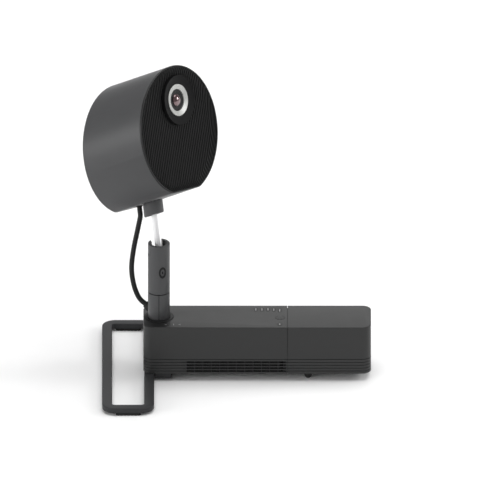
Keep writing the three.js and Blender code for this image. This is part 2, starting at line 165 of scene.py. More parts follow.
def plan(x0, x1, y0, y1, left_radius, right_radius=None, steps=10):
    """An anticlockwise rectangle whose left and right corners have radii of their own."""
    right_radius = left_radius if right_radius is None else right_radius
    corners = (
        (x1, y0, right_radius, -90, -1, 1), (x1, y1, right_radius, 0, -1, -1),
        (x0, y1, left_radius, 90, 1, -1), (x0, y0, left_radius, 180, 1, 1),
    )
    points = []
    for x, y, r, start, inward_x, inward_y in corners:
        if r > 0:
            points += arc(x + inward_x * r, y + inward_y * r, r, start, start + 90, steps)
        else:
            points.append((x, y))
    return points


def obround(width, length, steps=12):
    """A slot shape with round ends, longer along y."""
    r, straight = width / 2, (length - width) / 2
    return arc(0, straight, r, 0, 180, steps) + arc(0, -straight, r, 180, 360, steps)


def oval(width, length, steps=48):
    return [(width / 2 * math.cos(FULL_TURN * k / steps), length / 2
             * math.sin(FULL_TURN * k / steps))
            for k in range(steps)]


def offset(outline, distance):
    """An anticlockwise outline moved inwards by a distance, corners mitred."""
    moved = []
    count = len(outline)
    for i, (x, y) in enumerate(outline):
        before, after = outline[i - 1], outline[(i + 1) % count]
        first = Vector((x - before[0], y - before[1])).normalized()
        second = Vector((after[0] - x, after[1] - y)).normalized()
        inward = Vector((-first.y - second.y, first.x + second.x)) / (1 + first.dot(second))
        moved.append((x + inward.x * distance, y + inward.y * distance))
    return moved


def loft(rings, looped=False, caps=True):
    """Skins a list of rings that have the same number of points."""
    size = len(rings[0])
    points = [tuple(p) for ring in rings for p in ring]
    faces = []
    last = len(rings) if looped else len(rings) - 1
    for k in range(last):
        a, b = k * size, ((k + 1) % len(rings)) * size
        for i in range(size):
            j = (i + 1) % size
            faces.append((a + i, a + j, b + j, b + i))
    if caps and not looped:
        faces.append(tuple(reversed(range(size))))
        start = (len(rings) - 1) * size
        faces.append(tuple(range(start, start + size)))
    return points, faces


def levels(outline, steps, looped=False):
    """A solid whose outline moves inwards and up through (inset, height) steps."""
    return loft([[(x, y, z) for x, y in offset(outline, inset)] for inset, z in steps], looped)


def rounded(z0, z1, radius, steps=4):
    """(inset, height) steps of a plate with both edges rounded."""
    low = [(radius - x, z0 + radius + y) for x, y in arc(0, 0, radius, -90, 0, steps)]
    high = [(radius - x, z1 - radius + y) for x, y in arc(0, 0, radius, 0, 90, steps)]
    return low + high


def slab(outline, z0, z1, radius=0.4, steps=3):
    return levels(outline, rounded(z0, z1, radius, steps))


def lathe(profile, sides=96, looped=False):
    """A (radius, height) profile turned about z; it ends on the axis unless it is looped."""
    rings = []
    for r, z in profile:
        rings.append([(r * math.cos(FULL_TURN * k / sides), r * math.sin(FULL_TURN * k / sides), z)
                      for k in range(sides)])
    return loft(rings, looped, caps=False)


def drill(radius, z0, z1, sides=96):
    """A plain round bar, for cutting a hole."""
    return lathe([(0, z0), (radius, z0), (radius, z1), (0, z1)], sides)


def tube(outer, inner, z0, z1, edge=0.3, sides=96):
    """A ring whose four edges are softened."""
    profile = (
        arc(outer - edge, z0 + edge, edge, -90, 0, 3) + arc(outer - edge, z1 - edge, edge, 0, 90, 3)
        + arc(inner + edge, z1 - edge, edge, 90, 180, 3)
        + arc(inner + edge, z0 + edge, edge, 180, 270, 3)
    )
    return lathe(profile, sides, looped=True)


def round_bar(radius, z0, z1, edge=0.3, sides=48):
    profile = ([(0, z0)] + arc(radius - edge, z0 + edge, edge, -90, 0, 3)
               + arc(radius - edge, z1 - edge, edge, 0, 90, 3) + [(0, z1)])
    return lathe(profile, sides)


def block(x0, x1, y0, y1, z0, z1):
    return loft([[(x, y, z) for x, y in ((x0, y0), (x1, y0), (x1, y1), (x0, y1))]
                 for z in (z0, z1)])


def moved(solid, matrix):
    points, faces = solid
    return [tuple(matrix @ Vector(p)) for p in points], faces


def shifted(solid, x=0.0, y=0.0, z=0.0):
    return moved(solid, Matrix.Translation((x, y, z)))


def turned(solid, degrees, axis):
    return moved(solid, Matrix.Rotation(math.radians(degrees), 4, axis))


def along_y(solid):
    """A solid made along z, laid along y."""
    return turned(solid, -90, "X")


def along_x(solid):
    """A solid made along z, laid along x."""
    return turned(solid, 90, "Y")


def together(*solids):
    """Several closed solids as one list of points and faces."""
    points, faces = [], []
    for more_points, more_faces in solids:
        start = len(points)
        points += more_points
        faces += [tuple(start + i for i in face) for face in more_faces]
    return points, faces


# ---- Blender objects ---------------------------------------------------------------------------

SMOOTH_ANGLE = math.radians(34)
WELD = 1e-7              # metres; points closer than this are one point


def new_object(name, solid, place):
    """One object from a solid in millimetres, with its faces pointing out."""
    points, faces = solid
    mesh = bpy.data.meshes.new(name)
    mesh.from_pydata([Vector(p) * MM for p in points], [], faces)
    work = bmesh.new()
    work.from_mesh(mesh)
    bmesh.ops.remove_doubles(work, verts=work.verts, dist=WELD)
    bmesh.ops.dissolve_degenerate(work, dist=1e-8, edges=work.edges)
    bmesh.ops.recalc_face_normals(work, faces=work.faces)
    work.to_mesh(mesh)
    work.free()
    made = bpy.data.objects.new(name, mesh)
    bpy.context.scene.collection.objects.link(made)
    made.matrix_world = place
    return made


def with_modifiers_applied(made):
    depsgraph = bpy.context.evaluated_depsgraph_get()
    mesh = bpy.data.meshes.new_from_object(made.evaluated_get(depsgraph))
    made.modifiers.clear()
    made.data = mesh
    return made


def cut_away(made, *cutters):
    """Takes solids in the piece's own frame out of it."""
    for number, cutter in enumerate(cutters):
        tool = new_object(f"{made.name}_cutter_{number}", cutter, made.matrix_world)
        cut = made.modifiers.new("cut", "BOOLEAN")
        cut.operation, cut.solver, cut.object = "DIFFERENCE", "EXACT", tool
        with_modifiers_applied(made)
        bpy.data.objects.remove(tool)
    return made


def softened(made, width, segments=2, angle=40):
    """Rounds the edges that are sharper than an angle, width in millimetres."""
    bevel = made.modifiers.new("soften", "BEVEL")
    bevel.width, bevel.segments = width * MM, segments
    bevel.limit_method, bevel.angle_limit = "ANGLE", math.radians(angle)
    return with_modifiers_applied(made)


# Finishes of turned and brushed parts: their pieces keep local axes, all others get the frame's
TURNED_FINISHES = ("ring_finish", "rod_finish", "brushed_steel", "coated_glass")


def settled(made, finish, *nodes, body=None, slot=None):
    """Gives a piece its finish and its body, and hides the CAD nodes that it stands for; the slot
    is not used.
    """
    made.data.materials.append(finish_of(finish))
    if finish not in TURNED_FINISHES:
        made.data.transform(made.matrix_world)
        made.matrix_world = Matrix()
    made.data.shade_smooth()
    made.data.set_sharp_from_angle(angle=SMOOTH_ANGLE)
    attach(made, body or BODY_OF[nodes[0]])
    if nodes:
        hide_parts(*nodes)
    return made


def piece(name, solid, place, finish, *nodes, cuts=(), soften=None, body=None, slot=None):
    """A finished piece: a solid, less its cuts, with softened edges."""
    made = cut_away(new_object(name, solid, place), *cuts)
    if soften:
        softened(made, *soften)
    return settled(made, finish, *nodes, body=body, slot=slot)


# ---- Shader maths ------------------------------------------------------------------------------

class Signal:
    """A number on a shader socket; Python's operators add Math nodes to it."""

    def __init__(self, finish, socket):
        self.finish = finish
        self.socket = socket

    def _math(self, operation, first, second=0.0):
        settings = {"operation": operation}
        made = self.finish.node("ShaderNodeMath", settings, {0: first, 1: second})
        return Signal(self.finish, made.outputs[0])

    def __add__(self, other):
        return self._math("ADD", self, other)

    __radd__ = __add__

    def __mul__(self, other):
        return self._math("MULTIPLY", self, other)

    __rmul__ = __mul__

    def sine(self):
        return self._math("SINE", self)

    def root(self):
        return self._math("SQRT", self)

    def between(self, low, high):
        """0 below low, 1 above high, smooth in between."""
        made = self.finish.node("ShaderNodeMapRange", {"interpolation_type": "SMOOTHSTEP"},
                                {"Value": self, "From Min": low, "From Max": high})
        return Signal(self.finish, made.outputs["Result"])


class Finish:
    """One procedural material: a Principled shader and the nodes that feed it."""

    def __init__(self, name, constants=()):
        self.material = bpy.data.materials.new(f"finish_{name}")
        self.material.use_nodes = True
        self.tree = self.material.node_tree
        self.shader = self.tree.nodes["Principled BSDF"]
        for socket, value in dict(constants).items():
            self.shader.inputs[socket].default_value = value

    def node(self, kind, settings=None, sockets=None):
        """Adds a node: its settings first, then the values or links of its sockets."""
        made = self.tree.nodes.new(kind)
        for name, value in (settings or {}).items():
            setattr(made, name, value)
        for name, value in (sockets or {}).items():
            self.feed(made.inputs[name], value)
        return made

    def feed(self, socket, value):
        if isinstance(value, Signal):
            value = value.socket
        if isinstance(value, bpy.types.NodeSocket):
            self.tree.links.new(value, socket)
        elif socket.type == "RGBA" and len(value) == 3:
            socket.default_value = (*value, 1)
        else:
            socket.default_value = value

    def place(self):
        return self.node("ShaderNodeTexCoord").outputs["Object"]

    def stretched(self, x, y, z):
        """The object's coordinates with each axis scaled."""
        made = self.node("ShaderNodeMapping", None, {"Vector": self.place(), "Scale": (x, y, z)})
        return made.outputs["Vector"]

    def axes(self):
        made = self.node("ShaderNodeSeparateXYZ", None, {0: self.place()})
        return [Signal(self, made.outputs[k]) for k in range(3)]

    def noise(self, size, detail=2.0, place=None):
        """Noise whose features are about this many millimetres."""
        sockets = {"Vector": place or self.place(), "Scale": 1 / (size * MM), "Detail": detail}
        return Signal(self, self.node("ShaderNodeTexNoise", None, sockets).outputs[0])

    def cells(self, size):
        """Distance to the middle of random cells about this many millimetres across."""
        sockets = {"Vector": self.place(), "Scale": 1 / (size * MM)}
        return Signal(self, self.node("ShaderNodeTexVoronoi", None, sockets).outputs["Distance"])

    def facing(self, blend=0.5):
        made = self.node("ShaderNodeLayerWeight", None, {"Blend": blend})
        return Signal(self, made.outputs["Facing"])

    def mix(self, factor, first, second):
        made = self.node("ShaderNodeMix", {"data_type": "RGBA"}, {0: factor, 6: first, 7: second})
        return made.outputs[2]

    def colour(self, value):
        self.feed(self.shader.inputs["Base Color"], value)

    def roughness(self, value):
        self.feed(self.shader.inputs["Roughness"], value)

    def bump(self, height, distance, strength=1.0):
        """Relief from a height signal, distance in millimetres."""
        sockets = {"Height": height, "Distance": distance * MM, "Strength": strength}
        made = self.node("ShaderNodeBump", None, sockets)
        self.feed(self.shader.inputs["Normal"], made.outputs["Normal"])


def tinted(colour, factor):
    return tuple(min(1.0, channel * factor) for channel in colour)


def moulded(name, colour, roughness, grain=0.35, relief=0.012, variation=0.06,
            specular=0.5):
    """Moulded plastic with a fine spark texture and slow changes of tone."""
    finish = Finish(name, {"Specular IOR Level": specular})
    fine, broad = finish.noise(grain, 3.0), finish.noise(22.0, 2.0)
    finish.colour(finish.mix(broad * 0.7 + fine * 0.3, tinted(colour, 1 - variation),
                             tinted(colour, 1 + variation)))
    finish.roughness(broad * 0.08 + fine * 0.06 + (roughness - 0.07))
    finish.bump(fine + finish.cells(grain * 1.6) * 0.5, relief)
    return finish.material


def shell_plastic():
    colour = bpy.context.scene.projector_colours.shell
    return moulded("shell_plastic", colour, 0.4, grain=0.4, relief=0.008, specular=0.32)


# Painted shade: a darker copy of the shell's plastic for the box and its cover, which sit low where
# less light falls
def shaded_box_plastic():
    colour = bpy.context.scene.projector_colours.box
    return moulded("shaded_box_plastic", colour, 0.4, grain=0.4, relief=0.008, specular=0.36)


def frame_paint():
    """Powder coat: a soft orange-peel surface."""
    colour = bpy.context.scene.projector_colours.frame
    finish = Finish("frame_paint", {"Specular IOR Level": 0.2})
    peel, broad = finish.noise(0.9, 2.0), finish.noise(30.0, 2.0)
    finish.colour(finish.mix(broad, tinted(colour, 0.93), tinted(colour, 1.07)))
    finish.roughness(peel * 0.1 + 0.45)
    finish.bump(peel, 0.02, 0.6)
    return finish.material


def black_plastic():
    return moulded("black_plastic", (0.009, 0.0092, 0.0095), 0.42, grain=0.3, relief=0.006,
                   specular=0.3)


def grille_plastic():
    colour = bpy.context.scene.projector_colours.grille
    return moulded("grille_plastic", colour, 0.46, grain=0.3, relief=0.006, specular=0.25)


def bezel_plastic():
    colour = bpy.context.scene.projector_colours.shell
    return moulded("bezel_plastic", tinted(colour, 0.12), 0.55, grain=0.3, relief=0.006,
                   specular=0.08)


def key_plastic():
    colour = bpy.context.scene.projector_colours.box
    return moulded("key_plastic", tinted(colour, 1.05), 0.4, grain=0.3, relief=0.004, specular=0.3)


def legend_print():
    colour = bpy.context.scene.projector_colours.legend
    return moulded("legend_print", colour, 0.5, grain=0.2, relief=0.002)


def soft_rubber():
    """Matte rubber with a dusty bloom on its grain."""
    finish = Finish("soft_rubber", {"Specular IOR Level": 0.35})
    grain, bloom = finish.noise(0.5, 4.0), finish.noise(9.0, 3.0)
    finish.colour(finish.mix(bloom, (0.010, 0.010, 0.010), (0.019, 0.019, 0.018)))
    finish.roughness(grain * 0.14 + 0.68)
    finish.bump(grain, 0.02)
    return finish.material


def cable_sheath():
    """Smooth flexible sheath with faint drawing lines along it."""
    finish = Finish("cable_sheath", {"Specular IOR Level": 0.25})
    fine, broad = finish.noise(0.25, 2.0), finish.noise(12.0, 2.0)
    finish.colour(finish.mix(broad, (0.006, 0.006, 0.0063), (0.009, 0.009, 0.0095)))
    finish.roughness(broad * 0.1 + fine * 0.06 + 0.36)
    finish.bump(fine, 0.006)
    return finish.material


def rod_finish():
    """Light silver rod with fine turning lines round it."""
    colour = bpy.context.scene.projector_colours.arm
    finish = Finish("rod_finish")
    lines = finish.noise(0.18, 2.0, finish.stretched(0.05, 0.05, 1.0))
    broad = finish.noise(14.0, 2.0)
    finish.colour(finish.mix(lines * 0.6 + broad * 0.4, tinted(colour, 0.93), tinted(colour, 1.05)))
    finish.roughness(lines * 0.12 + 0.24)
    finish.bump(lines, 0.003)
    return finish.material


def brushed_steel():
    finish = Finish("brushed_steel", {"Metallic": 1.0})
    lines = finish.noise(0.16, 3.0, finish.stretched(1.0, 1.0, 0.06))
    broad = finish.noise(8.0, 2.0)
    finish.colour(finish.mix(broad, (0.38, 0.38, 0.39), (0.52, 0.52, 0.53)))
    finish.roughness(lines * 0.16 + 0.26)
    finish.bump(lines, 0.003)
    return finish.material


def cast_aluminium():
    finish = Finish("cast_aluminium", {"Metallic": 1.0})
    grain, broad = finish.noise(0.6, 4.0), finish.noise(10.0, 2.0)
    finish.colour(finish.mix(broad, (0.36, 0.365, 0.37), (0.5, 0.5, 0.5)))
    finish.roughness(grain * 0.2 + 0.36)
    finish.bump(grain, 0.02)
    return finish.material


def ring_finish():
    """Satin light-grey ring, turned, with faint circles round the lens."""
    colour = bpy.context.scene.projector_colours.lens_ring
    finish = Finish("ring_finish", {"Metallic": 0.25})
    x, _, z = finish.axes()
    radius = (x * x + z * z).root()
    circles = (radius * (FULL_TURN / (0.35 * MM))).sine() * 0.5 + 0.5
    broad = finish.noise(6.0, 2.0)
    finish.colour(finish.mix(broad, tinted(colour, 0.94), tinted(colour, 1.06)))
    finish.roughness(circles * 0.05 + 0.36)
    finish.bump(circles, 0.002)
    return finish.material


def coated_glass():
    """Dark lens glass whose coating reflects rose, with a painted rose reflection in its colour
    where it faces the viewer.
    """
    finish = Finish("coated_glass", {
        "IOR": 1.9, "Specular IOR Level": 0.9, "Specular Tint": (1.0, 0.72, 0.74, 1),
        "Coat Weight": 0.5, "Coat Roughness": 0.03})
    edge, haze = finish.facing(0.35), finish.noise(5.0, 2.0)
    # Painted reflection: rose where the lens faces the viewer, darker towards its edges
    painted_rose_reflection = finish.mix(edge.between(0.1, 0.7), (0.03, 0.012, 0.014), (0.006, 0.004, 0.008))
    finish.colour(finish.mix(haze * 0.25, painted_rose_reflection, (0.01, 0.006, 0.008)))
    finish.roughness(haze * 0.04 + 0.08)
    return finish.material


def board_lacquer():
    """Green solder mask over faint copper tracks."""
    finish = Finish("board_lacquer", {"Coat Weight": 0.4, "Coat Roughness": 0.2})
    x, y, z = finish.axes()
    tracks = ((x + y + z) * (FULL_TURN / (2.4 * MM))).sine().between(0.55, 0.75)
    patches = finish.noise(9.0, 1.0).between(0.48, 0.52)
    finish.colour(finish.mix(tracks * patches, (0.008, 0.065, 0.03), (0.02, 0.13, 0.06)))
    finish.roughness(patches * 0.08 + 0.34)
    finish.bump(tracks * patches, 0.03)
    return finish.material


def component_plastic():
    return moulded("component_plastic", (0.02, 0.02, 0.021), 0.34, grain=0.2, relief=0.004)


MAKERS = (
    shell_plastic, shaded_box_plastic, frame_paint, black_plastic, grille_plastic, bezel_plastic,
    key_plastic, legend_print, soft_rubber, cable_sheath, rod_finish, brushed_steel,
    cast_aluminium, ring_finish, coated_glass, board_lacquer, component_plastic,
)


def finish_of(name):
    """The material of that name, made when it is first asked for."""
    known = bpy.data.materials.get(f"finish_{name}")
    return known or {maker.__name__: maker for maker in MAKERS}[name]()


# ---- Studio ------------------------------------------------------------------------------------

VIEW_ELEVATION = math.radians(25)
VIEW_WIDTH = 0.6835
CAMERA_DISTANCE = 3
FLOOR_HALF = 20000       # millimetres
AIR_BRIGHTNESS = 0.3
VIEW_MIDDLE = STAND.translation + Vector((0.1245, 0, 0.1811))


class PROJECTOR_OT_studio(bpy.types.Operator):
    """Pale floor, soft lights and the camera"""

    bl_idname = "projector.studio"
    bl_label = "Studio"

    def execute(self, context):
        self.camera(context)
        self.floor()
        self.lights(context)
        return {"FINISHED"}

    @staticmethod
    def camera(context):
        data = bpy.data.cameras.new("camera")
        data.type, data.ortho_scale, data.clip_end = "ORTHO", VIEW_WIDTH, 50
        camera = bpy.data.objects.new("camera", data)
        back = Vector((0, -math.cos(VIEW_ELEVATION), math.sin(VIEW_ELEVATION)))
        camera.location = VIEW_MIDDLE + back * CAMERA_DISTANCE
        camera.rotation_mode = "QUATERNION"
        camera.rotation_quaternion = (-back).to_track_quat("-Z", "Y")
        context.scene.collection.objects.link(camera)
        context.scene.camera = camera

    @staticmethod
    def floor():
        half = FLOOR_HALF
        sheet = new_object("floor", ([(-half, -half, 0), (half, -half, 0), (half, half, 0),
                                      (-half, half, 0)], [(0, 1, 2, 3)]), Matrix.Identity(4))
        paper = Finish("floor_paper", {"Specular IOR Level": 0.0})
        tone = paper.noise(60.0, 2.0)
        paper.colour(paper.mix(tone, (0.93, 0.93, 0.93), (0.95, 0.95, 0.95)))
        paper.roughness(tone * 0.05 + 0.9)
        sheet.data.materials.append(paper.material)

    @staticmethod
    def lights(context):
        world = bpy.data.worlds.new("studio_air")
        world.use_nodes = True
        air = world.node_tree.nodes["Background"].inputs
        air["Color"].default_value = (1, 1, 1, 1)
        air["Strength"].default_value = AIR_BRIGHTNESS
        context.scene.world = world
        context.scene.view_settings.view_transform = "Standard"
        lamps = (
            # name, kind, place, aim, spread (degrees, or metres of a softbox), strength
            ("overhead_light", "SUN", (0.2, 0.3, 2.0), (0, 0, 0), 60, 2.0),
            ("left_light", "SUN", (-2.0, -0.9, 0.25), (0, 0, 0), 36, 1.7),
            ("front_light", "SUN", (-0.6, -2.0, 0.5), (0, 0, 0), 60, 0.45),
            ("back_light", "SUN", (0.0, 2.0, 1.0), (0, 0, 0), 40, 0.3),
            ("right_softbox", "AREA", (1.9, 0.1, 1.1), (0, 0, 0.35), 0.7, 14.0),
        )
        for name, kind, place, aim, spread, strength in lamps:
            data = bpy.data.lights.new(name, kind)
            data.energy = strength
            if kind == "SUN":
                data.angle = math.radians(spread)
            else:
                data.size = spread
            lamp = bpy.data.objects.new(name, data)
            lamp.location = place
            towards = Vector(aim) - lamp.location
            lamp.rotation_euler = towards.to_track_quat("-Z", "Y").to_euler()
            context.scene.collection.objects.link(lamp)


# ---- Cable -------------------------------------------------------------------------------------

# From the post's gland up to the head's, in metres from the post's axis at floor level
CABLE_ROUTE = [
    (-0.0124, 0.0072, 0.0914), (-0.0156, 0.009, 0.0932), (-0.02, 0.0115, 0.096),
    (-0.0246, 0.0138, 0.0994), (-0.0282, 0.0153, 0.1042), (-0.0326, 0.0172, 0.1146),
    (-0.0355, 0.0186, 0.1262), (-0.0371, 0.0199, 0.1378), (-0.0372, 0.0212, 0.1493),
    (-0.0361, 0.0223, 0.1609), (-0.0344, 0.0234, 0.1724), (-0.0323, 0.0243, 0.1841),
    (-0.0299, 0.0252, 0.1957), (-0.0276, 0.0264, 0.2074), (-0.0254, 0.0282, 0.2193),
    (-0.026, 0.0305, 0.2259), (-0.0269, 0.033, 0.2332),
]
STRETCH_STEPS = 40
CABLE_STRETCHES = (
    # CAD node, first and last share of the whole length, lower body, upper body
    ("cable_lower", 0.0, 0.4, "root", "pan"),
    ("cable_middle", 0.4, 0.72, "pan", "arm"),
    ("cable_upper", 0.72, 1.0, "arm", "head"),
)


def smooth_path(points, steps=12):
    """A centripetal Catmull-Rom curve through the points."""
    points = [Vector(p) for p in points]
    points = [2 * points[0] - points[1], *points, 2 * points[-1] - points[-2]]
    path = []
    for a, b, c, d in zip(points, points[1:], points[2:], points[3:]):
        t1 = (b - a).length ** 0.5
        t2 = t1 + (c - b).length ** 0.5
        t3 = t2 + (d - c).length ** 0.5
        for k in range(steps):
            t = t1 + (t2 - t1) * k / steps
            ab = a.lerp(b, t / t1)
            bc = b.lerp(c, (t - t1) / (t2 - t1))
            cd = c.lerp(d, (t - t2) / (t3 - t2))
            abc = ab.lerp(bc, t / t2)
            bcd = bc.lerp(cd, (t - t1) / (t3 - t1))
            path.append(abc.lerp(bcd, (t - t1) / (t2 - t1)))
    return [*path, points[-2]]


def lengths_along(path):
    total = [0.0]
    for a, b in zip(path, path[1:]):
        total.append(total[-1] + (b - a).length)
    return total


def stretch_of(path, start, end, count):
    """Evenly spaced points between two shares of a path's length."""
    total = lengths_along(path)
    points = []
    for k in range(count + 1):
        wanted = total[-1] * (start + (end - start) * k / count)
        i = max(j for j in range(len(total) - 1) if total[j] <= wanted + 1e-12)
        share = (wanted - total[i]) / (total[i + 1] - total[i])
        points.append(path[i].lerp(path[i + 1], share))
    return points


def swept(path, radius, sides=24):
    """A round section carried along a path without twisting, in the path's own unit."""
    along = [(b - a).normalized() for a, b in zip(path, path[1:])]
    along = [along[0], *[(a + b).normalized() for a, b in zip(along, along[1:])], along[-1]]
    side = along[0].orthogonal().normalized()
    rings = []
    for point, direction in zip(path, along):
        side = (side - direction * side.dot(direction)).normalized()
        up = direction.cross(side)
        rings.append([point + (side * math.cos(a) + up * math.sin(a)) * radius
                      for a in (FULL_TURN * k / sides for k in range(sides))])
    return loft(rings)


class PROJECTOR_OT_cable(bpy.types.Operator):
    """The cable from the post to the head, in three stretches"""

    bl_idname = "projector.cable"
    bl_label = "Cable"

    def execute(self, context):
        diameter = context.scene.projector_details.cable_diameter
        origin = STAND.translation
        whole = smooth_path([Vector(p) + origin for p in CABLE_ROUTE])
        for node, start, end, lower_body, upper_body in CABLE_STRETCHES:
            path = stretch_of(whole, start, end, STRETCH_STEPS)
            solid = swept([p / MM for p in path], diameter / 2 / MM)
            made = new_object(f"{node}_sheath", solid, Matrix.Identity(4))
            made.data.materials.append(finish_of("cable_sheath"))
            made.data.shade_smooth()
            made.data.set_sharp_from_angle(angle=SMOOTH_ANGLE)
            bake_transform(made)
            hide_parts(node)
            lengths_along(path)[-1]
        return {"FINISHED"}


# ---- Floor frame -------------------------------------------------------------------------------

FRAME_LOW, FRAME_HIGH = span("floor_frame")
FRAME_BAR = 13.7
FRAME_CORNER = 18.5
SCREW_PLACES = ((-13, 23), (-13, -23), (12, 23), (12, -23))
SCREW_HOLE = 2.3


class PROJECTOR_OT_floor_frame(bpy.types.Operator):
    """Flat rectangular frame, its bracket under the box, pads and screws"""

    bl_idname = "projector.floor_frame"
    bl_label = "Floor frame"

    def execute(self, context):
        edge = context.scene.projector_details.frame_edge / MM
        low, high = FRAME_LOW, FRAME_HIGH
        outer = plan(low.x, high.x, low.y, high.y, FRAME_CORNER, steps=16)
        inner = plan(low.x + FRAME_BAR, high.x - FRAME_BAR, low.y + FRAME_BAR, high.y - FRAME_BAR,
                     4.0, steps=16)
        up = rounded(low.z, high.z, edge)
        rings = [[(x, y, z) for x, y in offset(outer, inset)] for inset, z in up]
        rings += [[(x, y, z) for x, y in offset(inner, -inset)] for inset, z in reversed(up)]
        piece("frame_bars", loft(rings, looped=True), STAND, "frame_paint", "floor_frame",
              cuts=[self.holes(lambda x: x < high.x)])

        start, end = span("frame_bracket")
        tongue = plan(start.x, end.x, start.y, end.y, 0.8, 5)
        piece("frame_tongue", slab(tongue, start.z, end.z, 0.8), STAND, "frame_paint",
              "frame_bracket", cuts=[self.holes(lambda x: x > high.x)])

        for node in ("front_frame_pad", "rear_frame_pad"):
            start, end = span(node)
            pad = plan(start.x, end.x, start.y, end.y, 3.0)
            treads = [block(x, x + 1.0, start.y - 1, end.y + 1, -1, 0.5)
                      for x in (start.x + 5 + 4.8 * k for k in range(6))]
            piece(f"{node}_rubber", slab(pad, start.z, end.z, 0.4), STAND, "soft_rubber", node,
                  cuts=[together(*treads)])

        for number, (x, y) in enumerate(SCREW_PLACES, 1):
            self.screw(f"frame_screw_{number}", x, y)
        return {"FINISHED"}

    @staticmethod
    def holes(wanted):
        return together(*[shifted(drill(SCREW_HOLE, 0, 20, 32), x, y)
                          for x, y in SCREW_PLACES if wanted(x)])

    @staticmethod
    def screw(node, x, y):
        """Pan head with a hexagonal recess and a threaded shank."""
        thread = []
        for k in range(18):
            thread += [(1.7, 3.2 + k * 0.75), (2.0, 3.55 + k * 0.75)]
        profile = [(0, 0.5), (2.8, 0.5), (3.3, 0.75), (3.5, 1.3), (3.5, 2.7), (1.8, 2.7),
                   *thread, (1.5, 17), (0, 17)]
        recess = drill(1.5, -1, 1.7, 6)
        piece(f"{node}_steel", shifted(lathe(profile, 32), x, y), STAND, "brushed_steel", node,
              cuts=[shifted(recess, x, y)])


# ---- Box on the frame --------------------------------------------------------------------------

BOX_LOW, BOX_SEAM = span("base_housing")
COVER_START, BOX_END = span("cable_cover")
BOX_TOP, BOX_FLOOR = BOX_SEAM.z, BOX_LOW.z
BOX_WALL = 2.5
BOX_CORNER = 12.0
GROOVE_WIDTH = 1.0
SLOT_HEIGHT = 2.9
SLOT_LENGTH = 10.3
SLOT_PITCH = 11.4
SLOT_START = 38.0
SLOTS_PER_ROW = 12
SLOT_ROWS = [15.4 + 4.35 * k for k in range(4)]
GROOVE_ROWS = [*SLOT_ROWS, 32.8]
BEYOND = 6.0             # how far an outline runs past a seam before it is cut there
KEY_GAP = 0.12
KEYS = (
    # name, x, y, width, length, legend
    ("source_key", 132.5, 22, 4, 10, "bar"),
    ("shape_key", 140.8, 22, 4, 10, "bar"),
    ("focus_key", 149.1, 22, 4, 10, "bar"),
    ("menu_key", 157, 21, 4, 10, "bar"),
    ("back_key", 165.2, 19, 4, 10, "bar"),
    ("navigation_key", 165.6, -4.4, 13, 13, "dots"),
    ("power_key", 165.3, -25.6, 6, 9, "mark"),
)


def box_levels(groove_depth, edge_radius):
    """(inset, height) steps of the box's outside, with its grooves and its top edge."""
    steps = [(0.5, BOX_FLOOR), (0, BOX_FLOOR + 0.5)]
    for z in GROOVE_ROWS:
        half, bottom = GROOVE_WIDTH / 2, GROOVE_WIDTH / 4
        steps += [(0, z - half), (groove_depth, z - bottom), (groove_depth, z + bottom),
                  (0, z + half)]
    top = arc(0, 0, edge_radius, 0, 90, 6)
    return steps + [(edge_radius - x, BOX_TOP - edge_radius + y) for x, y in top]


def box_shell(name, x0, x1, radii, seam_cut, hollow, openings, node):
    """A length of the box: grooved outside, hollow inside, cut square at the seam."""
    details = bpy.context.scene.projector_details
    outline = plan(x0, x1, BOX_LOW.y, BOX_SEAM.y, *radii, steps=14)
    steps = box_levels(details.groove_depth / MM, details.edge_radius / MM)
    made = new_object(name, levels(outline, steps), STAND)
    cut_away(made, seam_cut, hollow, openings)
    return settled(made, "shaded_box_plastic", node)


